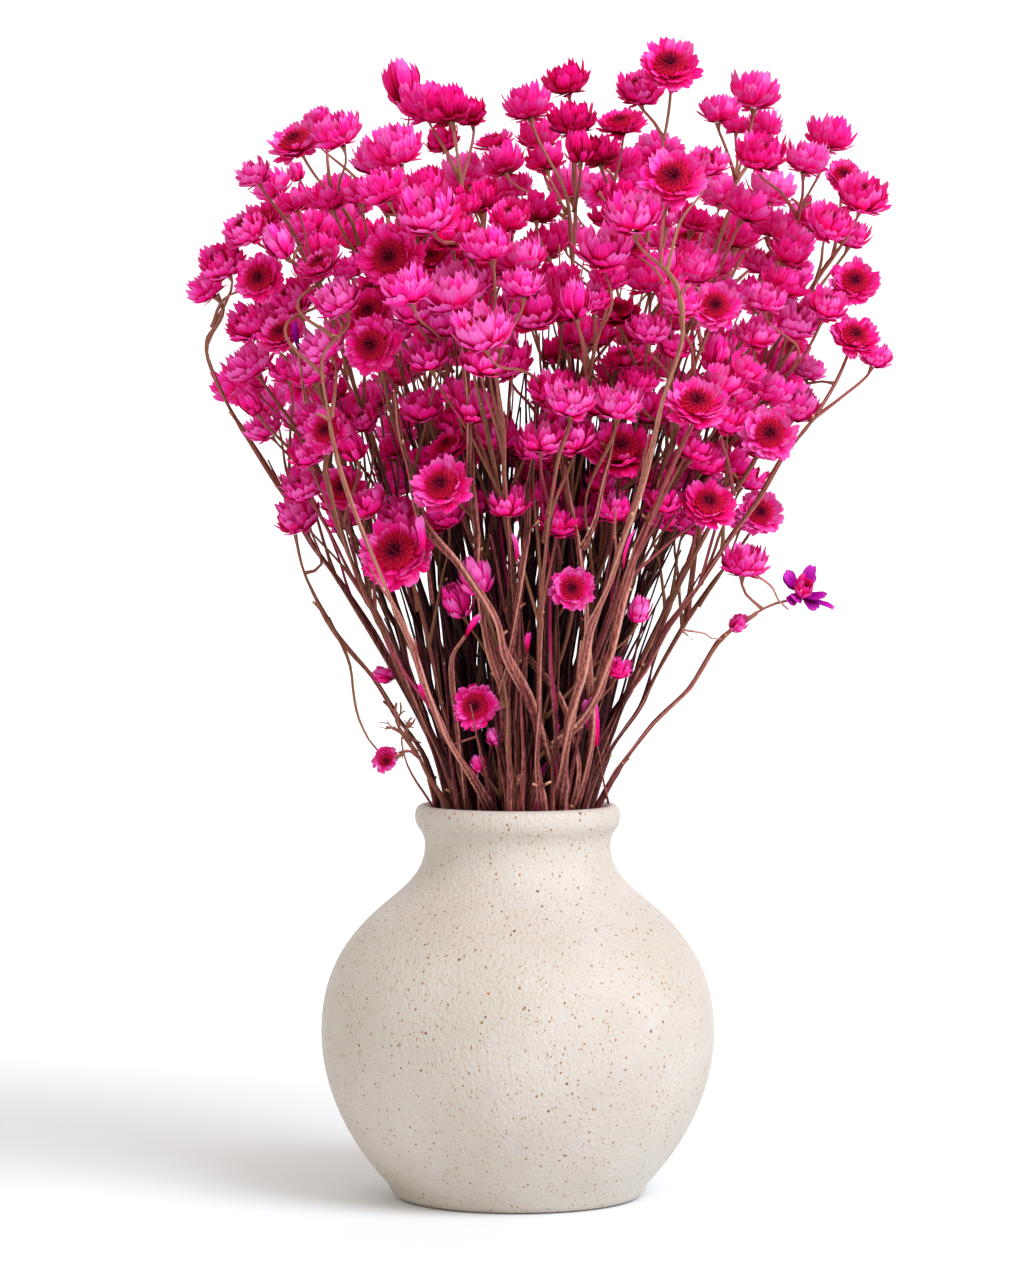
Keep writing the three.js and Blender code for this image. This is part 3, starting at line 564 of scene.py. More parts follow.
def route_pedicel(head, stem, draw, name):
    """A side stem from the main stem to its head, starting some way below the head."""
    obstacles = obstacles_for(name, head)
    wanted = (head["base"][2] - FORK_DROP - stem[0][2]) / (stem[-1][2] - stem[0][2])
    for attempt in range(PEDICEL_TRIES):
        spread = min(FORK_SPREAD, attempt * SPREAD_PER_TRY)
        share = limited(wanted + (draw() - 0.5) * spread, LOWEST_FORK, HIGHEST_FORK)
        point, way = point_on(stem, share)
        sway = PEDICEL_SWAY + attempt * SWAY_PER_TRY
        points = bend(point, way, head["base"], head["axis"], draw, sway, PEDICEL_STEPS)
        if is_clear(samples_along(points), PEDICEL_RADIUS, obstacles):
            return points
    raise RuntimeError(f"no way through for a side stem of {name}")


# %% Lay the strays, then every spray from the low front to the high back
def foot_of(place):
    return np.array([place[0] * FOOT_SHARE, place[1] * FOOT_SHARE, STEM_FOOT_HEIGHT])


def stray_head(x, y, z, width, form, aim):
    head = make_head(np.array([x, y, z], float), width, form, unit(np.array(aim, float)))
    settled.append(head)
    return head


def lay_stray(name, stray):
    spot = nearest_places(stray["place"])[0]
    take_place(spot)
    lead = stray_head(*stray["head"])
    start = np.array([*spot, NECK_HEIGHT])
    main = np.array([start, *stray["route"], lead["base"]])
    laid.append((name, samples_along(main), STEM_RADIUS))
    stems = [(np.array([foot_of(spot), *main]), lead)]
    for share, route, tip in stray["branches"]:
        head = stray_head(*tip)
        points = np.array([point_on(main, share)[0], *route, head["base"]])
        laid.append((name, samples_along(points), PEDICEL_RADIUS))
        stems.append((points, head))
    return stems


def lay_spray(name, heads, number):
    draw = seeded(SEED + SPRAY_SEEDS + number)
    lead, place, points = route_to_lead(heads, draw, name)
    laid.append((name, samples_along(points), STEM_RADIUS))
    stems = [(np.array([foot_of(place), *points]), lead)]
    for head in heads:
        if head is not lead:
            pedicel = route_pedicel(head, points, draw, name)
            laid.append((name, samples_along(pedicel), PEDICEL_RADIUS))
            stems.append((pedicel, head))
    return stems


def lay_all():
    """Each spray as its stems, the main one first, each with the head that it carries."""
    sprays = {name: lay_stray(name, stray) for name, stray in STRAYS.items()}
    bunches = {}
    for name, order, row, depth, looks, number in listed_heads():
        bunches.setdefault(name, {})[order] = settle_head(row, depth, looks, number)
    ordered = sorted(
        bunches.items(), key=lambda item: item[1][0]["centre"][1] + HEIGHT_IN_ORDER * item[1][0]["centre"][2])
    for number, (name, heads) in enumerate(ordered):
        sprays[name] = lay_spray(name, [heads[k] for k in sorted(heads)], number)
    return sprays


sprays = lay_all()
print("sprays:", len(sprays), "stems:", sum(len(stems) for stems in sprays.values()))


# %% [markdown]
# The plain solids show whether the rule came out the same: the box round each spray's points has to lie
# within its solid's box.

# %% Compare the sprays with their solids
def furthest_outside(name, stems):
    low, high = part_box(name)
    points = np.concatenate([points for points, _ in stems]) * MM
    return max((np.array(low) - points.min(0)).max(), (points.max(0) - np.array(high)).max()) / MM


worst = max((furthest_outside(name, stems), name) for name, stems in sprays.items())
print("furthest that a stem's points lie outside their solid, mm:", worst)

# %% [markdown]
# ## Colours and materials
#
# Every finish starts from the real stuff: dyed papery bracts, a fuzzy disc, dry ridged stems and satin
# stoneware. Colours are given as they look on a screen and turned to linear light by one function, and
# one small function adds a node with its settings and links.

# %% Helpers for materials
def linear(code):
    """A linear colour from an sRGB hex code such as "ff8800", by the curve of the sRGB standard."""
    parts = [int(code[k:k + 2], 16) / 255 for k in (0, 2, 4)]
    return (*(c / 12.92 if c <= 0.04045 else ((c + 0.055) / 1.055) ** 2.4 for c in parts), 1)


def add_node(tree, kind, inputs=None, stops=None, **settings):
    """Adds a node with settings, inputs given as values or as other nodes' outputs, and colour stops."""
    made = tree.nodes.new(kind)
    for name, value in settings.items():
        setattr(made, name, value)
    for name, value in (inputs or {}).items():
        if isinstance(value, bpy.types.NodeSocket):
            tree.links.new(value, made.inputs[name])
        else:
            made.inputs[name].default_value = value
    if stops:
        elements = made.color_ramp.elements
        while len(elements) < len(stops):
            elements.new(0.5)
        for element, (place, code) in zip(elements, stops):
            element.position = place
            element.color = linear(code)
    return made


def new_material(name, **values):
    """A material with its node tree and shader, and the shader's own numbers."""
    material = bpy.data.materials.new(name)
    material.use_nodes = True
    tree = material.node_tree
    shader = tree.nodes["Principled BSDF"]
    for key, value in values.items():
        shader.inputs[key.replace("_", " ")].default_value = value
    return material, tree, shader


MIX_A, MIX_B, MIX_RESULT = 6, 7, 2

# %% [markdown]
# The bracts are thin, dry and dyed. Their colour is deep where a bract leaves the head and pales towards
# the tip, with fine lengthwise streaks where the paper is ribbed; the dark roots are partly dye and partly
# painted shade for the inside of the head. They are matt, so a head shows its own colour from every side,
# and heads deep in the bunch are painted a deeper pink, as painted shade.

# %% Dyed bracts
# A wide bract is 5.2 mm across, and its ribs are about half a millimetre apart.
WIDE_BRACT = 5.2 * MM
RIB_PITCH = 0.5 * MM
RIB_SCALE = 2.0
RIBS_ALONG = 0.5
RIBS_BY_BRACT = 31
RIB_LIGHT = {"From Min": 0.54, "From Max": 0.74, "To Max": 0.38}
RIB_HEIGHT = 0.25 * MM
PALER_BRACTS = 0.4
STREAKS_IN_BRACT = 0.8
HEAD_SHADE_INSIDE = 0.5


def bract_material(name, stops, streak):
    material, tree, shader = new_material(name, Roughness=0.7, Specular_IOR_Level=0.04)
    along, across, tone, deep = (
        add_node(tree, "ShaderNodeAttribute", attribute_name=mark).outputs["Fac"]
        for mark in ("along", "across", "tone", "deep"))
    place = add_node(tree, "ShaderNodeCombineXYZ", {"X": across, "Y": along, "Z": tone})
    # The mark "across" runs from -1 to 1, so it is two units wide.
    ribs_across = WIDE_BRACT / RIB_PITCH / 2 / RIB_SCALE
    stretched = add_node(tree, "ShaderNodeMapping", {
        "Vector": place.outputs["Vector"], "Scale": (ribs_across, RIBS_ALONG, RIBS_BY_BRACT)})
    ribs = add_node(tree, "ShaderNodeTexNoise", {
        "Vector": stretched.outputs["Vector"], "Scale": RIB_SCALE, "Detail": 2.0}).outputs["Fac"]
    paler = add_node(tree, "ShaderNodeMath", {
        0: tone, 1: PALER_BRACTS, 2: -PALER_BRACTS / 2}, operation="MULTIPLY_ADD")
    streaky = add_node(tree, "ShaderNodeMath", {
        0: ribs, 1: STREAKS_IN_BRACT, 2: -STREAKS_IN_BRACT / 2}, operation="MULTIPLY_ADD")
    # Painted shade: the deeper a head sits in the bunch, the further its colour moves towards the dark roots.
    deeper = add_node(tree, "ShaderNodeMath", {
        0: deep, 1: -HEAD_SHADE_INSIDE, 2: along}, operation="MULTIPLY_ADD")
    varied = add_node(tree, "ShaderNodeMath", {0: paler.outputs[0], 1: streaky.outputs[0]}, operation="ADD")
    total = add_node(tree, "ShaderNodeMath", {0: varied.outputs[0], 1: deeper.outputs[0]}, operation="ADD")
    colour = add_node(tree, "ShaderNodeValToRGB", {"Fac": total.outputs[0]}, stops=stops)
    share = add_node(tree, "ShaderNodeMapRange", {"Value": ribs, **RIB_LIGHT})
    outer = add_node(tree, "ShaderNodeMath", {
        0: share.outputs["Result"], 1: total.outputs[0]}, operation="MULTIPLY")
    outer.use_clamp = True
    mixed = add_node(tree, "ShaderNodeMix", {
        0: outer.outputs[0], MIX_A: colour.outputs["Color"], MIX_B: linear(streak)}, data_type="RGBA")
    relief = add_node(tree, "ShaderNodeBump", {"Height": ribs, "Strength": 0.5, "Distance": RIB_HEIGHT})
    tree.links.new(mixed.outputs[MIX_RESULT], shader.inputs["Base Color"])
    tree.links.new(relief.outputs["Normal"], shader.inputs["Normal"])
    return material


# In both ramps the dark root end is partly dye and partly painted shade.
pink_bracts = bract_material(
    "dyed_pink_bracts",
    [(0.0, "8e0028"), (0.18, "c80047"), (0.42, "fe0882"), (0.78, "ff2eaa"), (1.0, "ff70cc")], "ff8cd2")
violet_bracts = bract_material(
    "dyed_violet_bracts",
    [(0.0, "52024c"), (0.35, "84007a"), (0.7, "a80898"), (1.0, "c832b4")], "d060c4")

# %% [markdown]
# The disc in the middle of an open head is a dome of tiny florets. The youngest, in its middle, are
# violet and nearly black; the outer ones are crimson. It has almost no gloss.

# %% Fuzzy disc
UNEVEN_FLORETS = 0.3


def disc_material():
    material, tree, shader = new_material("fuzzy_disc", Roughness=0.95, Specular_IOR_Level=0.1)
    out = add_node(tree, "ShaderNodeAttribute", attribute_name="along")
    tone = add_node(tree, "ShaderNodeAttribute", attribute_name="tone")
    uneven = add_node(tree, "ShaderNodeMath", {
        0: tone.outputs["Fac"], 1: UNEVEN_FLORETS, 2: -UNEVEN_FLORETS / 2}, operation="MULTIPLY_ADD")
    place = add_node(tree, "ShaderNodeMath", {0: out.outputs["Fac"], 1: uneven.outputs[0]}, operation="ADD")
    colour = add_node(tree, "ShaderNodeValToRGB", {"Fac": place.outputs[0]}, stops=[
        (0.0, "420420"), (0.18, "80082e"), (0.5, "b40e38"), (0.8, "cc1844"), (1.0, "e2345c")])
    tree.links.new(colour.outputs["Color"], shader.inputs["Base Color"])
    return material


fuzzy_disc = disc_material()

# %% [markdown]
# A dried stem is brown with a mauve cast, and streaked along its length. Its ridges are painted paler and
# its grooves darker, as painted light and shade. Some stems took up dye and are pinker, the youngest parts
# below the heads stayed olive, and some broken leaf stalks end in a pale orange scar.

# %% Dried stems
STREAK_WIDTH = 0.5 * MM
STREAK_LENGTH = 12 * MM
STREAK_DEPTH = 0.35 * MM
STREAKS_IN_STEM = 1.1
RIDGE_SHADING = 1.0


def stem_material():
    material, tree, shader = new_material("dry_ridged_stem", Roughness=0.75, Specular_IOR_Level=0.25)
    coordinates = add_node(tree, "ShaderNodeTexCoord")
    marks = {name: add_node(tree, "ShaderNodeAttribute", attribute_name=name).outputs["Fac"]
             for name in ("tone", "ridge", "stain", "scar", "young")}
    scale = (1 / STREAK_WIDTH, 1 / STREAK_WIDTH, 1 / STREAK_LENGTH)
    stretched = add_node(tree, "ShaderNodeMapping", {"Vector": coordinates.outputs["Object"], "Scale": scale})
    streaks = add_node(tree, "ShaderNodeTexNoise", {
        "Vector": stretched.outputs["Vector"], "Scale": 1.0, "Detail": 3.0, "Roughness": 0.6})
    uneven = add_node(tree, "ShaderNodeMath", {
        0: streaks.outputs["Fac"], 1: STREAKS_IN_STEM, 2: -STREAKS_IN_STEM / 2}, operation="MULTIPLY_ADD")
    # Painted light and shade: the ridges lighter and the grooves darker.
    painted_ridge_shading = add_node(tree, "ShaderNodeMath", {
        0: marks["ridge"], 1: RIDGE_SHADING, 2: -RIDGE_SHADING}, operation="MULTIPLY_ADD")
    raised = add_node(tree, "ShaderNodeMath", {0: uneven.outputs[0], 1: painted_ridge_shading.outputs[0]}, operation="ADD")
    place = add_node(tree, "ShaderNodeMath", {0: marks["tone"], 1: raised.outputs[0]}, operation="ADD")
    bark = add_node(tree, "ShaderNodeValToRGB", {"Fac": place.outputs[0]}, stops=[
        (0.0, "0b0403"), (0.25, "3f1a16"), (0.5, "8e4741"), (0.75, "c4786e"), (1.0, "dfa390")])
    colour = bark.outputs["Color"]
    for mark, code in (("young", "8c6140"), ("stain", "b8205e"), ("scar", "e9b183")):
        colour = add_node(tree, "ShaderNodeMix", {
            0: marks[mark], MIX_A: colour, MIX_B: linear(code)}, data_type="RGBA").outputs[MIX_RESULT]
    relief = add_node(tree, "ShaderNodeBump", {
        "Height": streaks.outputs["Fac"], "Strength": 0.8, "Distance": STREAK_DEPTH})
    tree.links.new(colour, shader.inputs["Base Color"])
    tree.links.new(relief.outputs["Normal"], shader.inputs["Normal"])
    return material


dried_stem = stem_material()

# %% [markdown]
# The vase is thrown stoneware under a thin satin glaze. Iron in the clay burns through as small tan and
# brown specks; the glaze is a little warmer in patches, and the surface keeps fine pits, short scratches
# and the faint rings of throwing. Each row of specks gives the size of the cells that hold one speck, how
# far it is drawn out, its reach in its cell, the share of the cells that have one, and its colour.

# %% Speckled stoneware
SPECKS = [
    (1.2 * MM, 1.0, 0.19, 0.95, "bb9460"), (2.1 * MM, 1.0, 0.17, 0.9, "9c6424"),
    (1.4 * MM, 3.4, 0.15, 0.7, "a87434"), (4.4 * MM, 1.0, 0.11, 0.8, "744010")]
SPECK_LEAN = 35
SMALLEST_SPECK = 0.4
SPECK_EDGE = 0.07
PATCH_SIZE = 30 * MM
PIT_SIZE = 1.5 * MM
SCRATCH_WIDTH = 0.9 * MM
SCRATCH_STRETCH = 4
SCRATCH_LEAN = -40
RING_PITCH = 13.823 * MM
WAVE_PITCH = math.pi / 10


def add_specks(tree, coordinates, colour, cell, stretch, reach, share, code):
    """Lays specks over a colour: one in a share of the cells, round or drawn out, of many sizes."""
    scale = (1 / cell, 1 / cell, 1 / (cell * stretch))
    drawn = add_node(tree, "ShaderNodeMapping", {
        "Vector": coordinates, "Rotation": (0, math.radians(SPECK_LEAN * (stretch > 1)), 0), "Scale": scale})
    cells = add_node(tree, "ShaderNodeTexVoronoi", {"Vector": drawn.outputs["Vector"], "Scale": 1.0})
    parts = add_node(tree, "ShaderNodeSeparateColor", {"Color": cells.outputs["Color"]})
    chosen = add_node(tree, "ShaderNodeMath", {0: parts.outputs["Red"], 1: share}, operation="LESS_THAN")
    limit = add_node(tree, "ShaderNodeMath", {
        0: parts.outputs["Green"], 1: reach, 2: SMALLEST_SPECK * reach}, operation="MULTIPLY_ADD")
    nearness = add_node(tree, "ShaderNodeMath", {
        0: limit.outputs[0], 1: cells.outputs["Distance"]}, operation="SUBTRACT")
    soft = add_node(tree, "ShaderNodeMapRange", {"Value": nearness.outputs[0], "From Max": SPECK_EDGE})
    mask = add_node(tree, "ShaderNodeMath", {
        0: soft.outputs["Result"], 1: chosen.outputs[0]}, operation="MULTIPLY")
    mixed = add_node(tree, "ShaderNodeMix", {
        0: mask.outputs[0], MIX_A: colour, MIX_B: linear(code)}, data_type="RGBA")
    return mixed.outputs[MIX_RESULT]


def stoneware_material():
    material, tree, shader = new_material(
        "satin_stoneware", Roughness=0.52, IOR=1.5, Specular_IOR_Level=0.45)
    coordinates = add_node(tree, "ShaderNodeTexCoord").outputs["Object"]
    patches = add_node(tree, "ShaderNodeTexNoise", {
        "Vector": coordinates, "Scale": 1 / PATCH_SIZE, "Detail": 5.0})
    colour = add_node(tree, "ShaderNodeValToRGB", {"Fac": patches.outputs["Fac"]}, stops=[
        (0.25, "c8bdaf"), (0.5, "cfc5ba"), (0.75, "d6cec5")]).outputs["Color"]
    for specks in SPECKS:
        colour = add_specks(tree, coordinates, colour, *specks)
    # One band of the wave texture is WAVE_PITCH long in its own units.
    rings = add_node(tree, "ShaderNodeTexWave", {
        "Vector": coordinates, "Scale": WAVE_PITCH / RING_PITCH, "Distortion": 3.0, "Detail": 2.0},
        wave_type="BANDS", bands_direction="Z")
    pits = add_node(tree, "ShaderNodeTexNoise", {"Vector": coordinates, "Scale": 1 / PIT_SIZE, "Detail": 3.0})
    scratched = add_node(tree, "ShaderNodeMapping", {
        "Vector": coordinates, "Rotation": (0, math.radians(SCRATCH_LEAN), 0),
        "Scale": (1 / SCRATCH_WIDTH, 1 / SCRATCH_WIDTH, 1 / SCRATCH_STRETCH / SCRATCH_WIDTH)})
    scratches = add_node(tree, "ShaderNodeTexNoise", {
        "Vector": scratched.outputs["Vector"], "Scale": 1.0, "Detail": 2.0})
    normal = None
    for height, strength, depth in ((rings, 0.12, 0.4), (pits, 0.8, 0.55), (scratches, 0.8, 0.4)):
        inputs = {"Height": height.outputs["Fac"], "Strength": strength, "Distance": depth * MM}
        if normal:
            inputs["Normal"] = normal
        normal = add_node(tree, "ShaderNodeBump", inputs).outputs["Normal"]
    tree.links.new(colour, shader.inputs["Base Color"])
    tree.links.new(normal, shader.inputs["Normal"])
    return material


stoneware = stoneware_material()
print("materials:", [made.name for made in (pink_bracts, violet_bracts, fuzzy_disc, dried_stem, stoneware)])


# %% Helpers for pieces
def finish_piece(name, bm, material, replaced=None):
    """Makes a piece of the object from a bmesh, riding on the one body of the model."""
    mesh = mesh_from(name, bm)
    mesh.materials.append(material)
    piece = add_object(name, mesh)
    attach(piece, "root")
    if replaced:
        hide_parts(replaced)
    return piece


# %% [markdown]
# ## The vase
#
# A thrown vase is round about its axis, so its outline is drawn once and spun. The outline is made of
# the same curves as the plain solid, in more and finer steps, up the outside, over the rolled rim and
# down the inside to its floor.

# %% Vase
VASE_CURVES = [
    (3, (FOOT_RADIUS + 3, 0), (FOOT_RADIUS + 3.5, 2.5), (FOOT_RADIUS + 4.5, 4.5)),
    (12, (55, 17), (BELLY_RADIUS, 35), (BELLY_RADIUS, BELLY_HEIGHT)),
    (12, (BELLY_RADIUS, 75), (56, 87), (SHOULDER_RADIUS, SHOULDER_HEIGHT)),
    (9, (36, 103.5), (NECK_RADIUS, 108), (NECK_RADIUS, NECK_HEIGHT)),
    (8, (NECK_RADIUS, 121.5), (RIM_RADIUS, 121.5), (RIM_RADIUS, RIM_HEIGHT)),
    (9, (RIM_RADIUS, 130.7), (MOUTH_RADIUS + 1, RIM_TOP), (MOUTH_RADIUS, RIM_HEIGHT + 0.5)),
    (5, (MOUTH_RADIUS - 0.5, 123), (INNER_NECK, 121), (INNER_NECK, NECK_HEIGHT)),
    (5, (INNER_NECK, 107), (33, 101), (INNER_SHOULDER, SHOULDER_HEIGHT - 2)),
    (6, (52.5, 85), (INNER_BELLY, 74), (INNER_BELLY, BELLY_HEIGHT)),
    (6, (INNER_BELLY, 35), (52, 17), (FLOOR_RADIUS, FLOOR_HEIGHT)),
]
VASE_STEPS = 128
VASE_WELD = 0.001 * MM


def vase_outline():
    points = [(0, 0), (FOOT_RADIUS * 0.5, 0), (FOOT_RADIUS - 1, 0), (FOOT_RADIUS, 0)]
    for steps, *handles in VASE_CURVES:
        knots = [Vector((*point, 0)) for point in (points[-1], *handles)]
        points += [(p.x, p.y) for p in interpolate_bezier(*knots, steps + 1)[1:]]
    return [*points, (FLOOR_RADIUS * 0.5, FLOOR_HEIGHT), (0, FLOOR_HEIGHT)]


def build_vase():
    bm = bmesh.new()
    outline = [bm.verts.new(Vector((radius, 0, height)) * MM) for radius, height in vase_outline()]
    edges = [bm.edges.new(pair) for pair in zip(outline[:-1], outline[1:])]
    bmesh.ops.spin(bm, geom=[*outline, *edges], cent=(0, 0, 0), axis=(0, 0, 1), dvec=(0, 0, 0),
                   angle=2 * math.pi, steps=VASE_STEPS, use_merge=True, use_duplicate=False)
    bmesh.ops.remove_doubles(bm, verts=bm.verts, dist=VASE_WELD)
    bmesh.ops.recalc_face_normals(bm, faces=bm.faces)
    print("vase faces:", len(bm.faces))
    return finish_piece("stoneware_vase", bm, stoneware, "vase")


build_vase()

# %% [markdown]
# ## One bract
#
# A bract is a small oblong blade, cupped across, with a blunt tip cut into a few teeth. A grid of a few
# faces is bent to that form. Its underside is a copy that bulges by the thickness of the paper and is
# welded to it round the edge, so each bract is a closed, thin solid.

# %% Bract
BRACT_ROWS = [0, 0.36, 0.76, 1]
BRACT_PROFILE = [0.34, 0.8, 1.0, 0.88]
LAST_ROW = len(BRACT_ROWS) - 1
TEETH = [-0.1, 0.03, -0.05, 0.03, -0.1]
TOOTH_SPREAD = 0.03
BRACT_CUP = 0.2
BRACT_CURL = (-0.08, 0.02)
BRACT_SWAY = 0.06
BRACT_TILT = 0.25
BRACT_SIZES = (0.85, 1.15)
LOOK_AHEAD = 0.05
PAPER = 0.014
EDGE_WELD = 1e-5
SHARP_ANGLE = 1.2


def along_way(share, start, middle, end):
    """A place on a curve through a start and an end, drawn towards the middle point."""
    rest = 1 - share
    return [rest * rest * a + 2 * rest * share * b + share * share * c for a, b, c in zip(start, middle, end)]


def add_bract(bm, layers, tip, belly, width, root, turn, draw, tone):
    """Adds one bract on the head's axis; its root, belly and tip are given as (out, up)."""
    columns = len(TEETH) - 1
    sheet = bmesh.ops.create_grid(bm, x_segments=columns, y_segments=LAST_ROW, size=1)["verts"]
    curl = between(BRACT_CURL, draw())
    sway = either_way(BRACT_SWAY, draw)
    tilt = either_way(BRACT_TILT, draw)
    half = width / 2 * between(BRACT_SIZES, draw())
    spin = Matrix.Rotation(turn, 3, "Z")
    for vert in sheet:
        side, row = vert.co.x, round((vert.co.y + 1) * LAST_ROW / 2)
        share = BRACT_ROWS[row]
        if row == LAST_ROW:
            share += TEETH[round((side + 1) * columns / 2)] + either_way(TOOTH_SPREAD, draw)
        out, up = along_way(share, root, belly, tip)
        ahead_out, ahead_up = along_way(share + LOOK_AHEAD, root, belly, tip)
        slope = Vector((ahead_out - out, 0, ahead_up - up)).normalized()
        inward = Vector((-slope.z, 0, slope.x))
        reach = half * BRACT_PROFILE[row]
        rise = BRACT_CUP * reach * side * side + curl * share ** 3 + tilt * reach * side
        vert.co = spin @ (Vector((out, side * reach + sway * share * share, up)) + inward * rise)
        vert[layers["along"]] = share
        vert[layers["across"]] = side
        vert[layers["tone"]] = tone
        vert[layers["under"]] = 1 if abs(side) < 0.75 and 0 < row < LAST_ROW else 0


def add_undersides(bm, layers):
    """Copies every blade, bulges the copy by the paper's thickness and welds it on round the edge."""
    normals = {vert: vert.normal.copy() for vert in bm.verts}
    copied = bmesh.ops.duplicate(bm, geom=[*bm.verts, *bm.edges, *bm.faces])
    for new, old in copied["vert_map"].items():
        if new in normals:
            new, old = old, new
        new.co = old.co - normals[old] * PAPER * new[layers["under"]]
    bmesh.ops.remove_doubles(bm, verts=bm.verts, dist=EDGE_WELD)
    bmesh.ops.recalc_face_normals(bm, faces=bm.faces)
    for edge in bm.edges:
        if edge.is_manifold and edge.calc_face_angle() > SHARP_ANGLE:
            edge.smooth = False


# %% [markdown]
# ## The heads
#
# A head is rings of bracts in layers. In an open head they lie nearly flat round a wide disc; in one
# seen from the side they stand up as a cup, with a few short ones spread flat at its foot; a bud keeps
# them folded together. Each layer gives its number of bracts, and tip, belly, width and root height as
# shares of the head's width. A few seeded variants of each form are enough, because every head has its
# own turn, size and tilt.

# %% Layers of bracts
HEAD_LAYERS = {
    "open": [(9, (0.42, 0.06), (0.24, 0.01), 0.21, 0.03), (11, (0.52, 0.2), (0.33, 0.02), 0.26, 0.06),
             (12, (0.47, 0.33), (0.37, 0.07), 0.23, 0.1), (11, (0.37, 0.36), (0.34, 0.14), 0.18, 0.13)],
    "side": [(8, (0.4, 0.08), (0.22, -0.01), 0.24, 0.02), (10, (0.54, 0.28), (0.35, 0.0), 0.31, 0.04),
             (10, (0.53, 0.5), (0.43, 0.05), 0.31, 0.07), (9, (0.43, 0.65), (0.43, 0.12), 0.29, 0.1),
             (6, (0.24, 0.68), (0.32, 0.22), 0.23, 0.14)],
    "bud": [(7, (0.44, 0.4), (0.34, 0.02), 0.22, 0.03), (7, (0.36, 0.84), (0.5, 0.26), 0.29, 0.07),
            (6, (0.2, 1.0), (0.44, 0.4), 0.28, 0.1), (3, (0.08, 0.98), (0.3, 0.5), 0.22, 0.12)],
    "late": [(6, (0.46, 0.14), (0.28, 0.0), 0.34, 0.02), (7, (0.53, 0.38), (0.38, 0.0), 0.38, 0.05),
             (7, (0.43, 0.6), (0.42, 0.08), 0.35, 0.09), (3, (0.2, 0.64), (0.3, 0.2), 0.3, 0.13)],
    "starry": [(4, (0.5, 0.2), (0.3, 0.0), 0.29, 0.04), (4, (0.47, 0.36), (0.28, 0.08), 0.27, 0.07)],
    "heart": [(6, (0.2, 0.36), (0.25, 0.06), 0.2, 0.08), (6, (0.08, 0.44), (0.22, 0.2), 0.18, 0.1)],
    "blade": [(1, (0.12, 1.0), (-0.05, 0.5), 0.26, 0.0)],
    "leaf": [(3, (0.42, 0.5), (0.12, 0.36), 0.3, 0.0), (2, (0.1, 1.1), (0.34, 0.5), 0.34, 0.0)],
}
VARIANTS = {"open": 6, "side": 7, "bud": 3, "late": 4, "starry": 1, "heart": 1, "blade": 2, "leaf": 2}
DISC_PLACE = {"open": (0.27, 0.2), "side": (0.24, 0.42)}
ROOT_OUT = 0.07
VARIANT_SEEDS = 31
UNEVEN_TURN = 0.22
TIP_REACH = (0.9, 1.04)
TIP_LIFT = 0.05


def float_layers(bm, *names):
    return {name: bm.verts.layers.float.new(name) for name in names}


def head_variant(form, number):
    draw = seeded(SEED + VARIANT_SEEDS * number + len(form))
    bm = bmesh.new()
    layers = float_layers(bm, "along", "across", "tone", "under")
    for order, (count, tip, belly, width, root) in enumerate(HEAD_LAYERS[form]):
        start = draw() * 2 * math.pi
        for k in range(count):
            turn = start + (k + either_way(UNEVEN_TURN, draw)) * 2 * math.pi / count
            reach = between(TIP_REACH, draw())
            lift = either_way(TIP_LIFT, draw)
            bract_tip = (tip[0] * reach, tip[1] * reach + lift)
            add_bract(bm, layers, bract_tip, belly, width, (ROOT_OUT, root), turn, draw, draw())
    bm.normal_update()
    add_undersides(bm, layers)
    return mesh_from(f"{form}_head_{number}", bm)


head_meshes = {form: [head_variant(form, k) for k in range(count)] for form, count in VARIANTS.items()}
head_meshes["turned"] = head_meshes["open"]
print("faces of a head:", {form: len(meshes[0].polygons) for form, meshes in head_meshes.items()})

# %% [markdown]
# The disc is a low dome, set with florets in the spiral that sunflowers and daisies share. Each floret
# is a four-sided point. The middle of the dome is dimpled, where the youngest florets are still shut.

# %% Disc
FLORETS = 60
FLORET_LENGTH = 0.34
FLORET_SIZES = (0.7, 1.25)
FLORET_RADII = (0.08, 0.035)
FLORET_SPREAD = 1.3
FLORET_RISE = 0.8
FLORET_LIFT = 0.2
TIP_COLOUR, FOOT_COLOUR = 0.25, -0.15
DOME_RADIUS = 0.96
DOME_HEIGHT = 0.42
DOME_FOOT = -0.1
DIMPLE = 0.35
DIMPLE_DEPTH = 0.2


def dome_height(out):
    return DOME_HEIGHT * math.sqrt(max(0, 1 - out * out)) - DIMPLE_DEPTH * max(0, 1 - out / DIMPLE) ** 2


def add_dome(bm, layers):
    dome = bmesh.ops.create_uvsphere(bm, u_segments=12, v_segments=8, radius=DOME_RADIUS)["verts"]
    for vert in dome:
        out = math.hypot(vert.co.x, vert.co.y)
        vert.co.z = dome_height(out) if vert.co.z >= 0 else DOME_FOOT
        vert[layers["along"]] = out + FOOT_COLOUR
        vert[layers["tone"]] = 0.2


def add_floret(bm, layers, out, turn, long, tone):
    """A four-sided point that leans out more towards the edge of the dome."""
    foot = Vector((math.cos(turn) * out, math.sin(turn) * out, dome_height(out)))
    lean = Vector((foot.x * FLORET_SPREAD, foot.y * FLORET_SPREAD, FLORET_RISE)).normalized()
    middle_point = foot + lean * long * FLORET_LIFT
    stand = Matrix.Translation(middle_point) @ lean.to_track_quat("Z", "Y").to_matrix().to_4x4()
    cone = bmesh.ops.create_cone(bm, cap_ends=True, segments=4, radius1=FLORET_RADII[0],
                                 radius2=FLORET_RADII[1], depth=long, matrix=stand)["verts"]
    for k, vert in enumerate(cone):
        vert[layers["along"]] = out + (TIP_COLOUR if k >= 4 else FOOT_COLOUR)
        vert[layers["tone"]] = tone


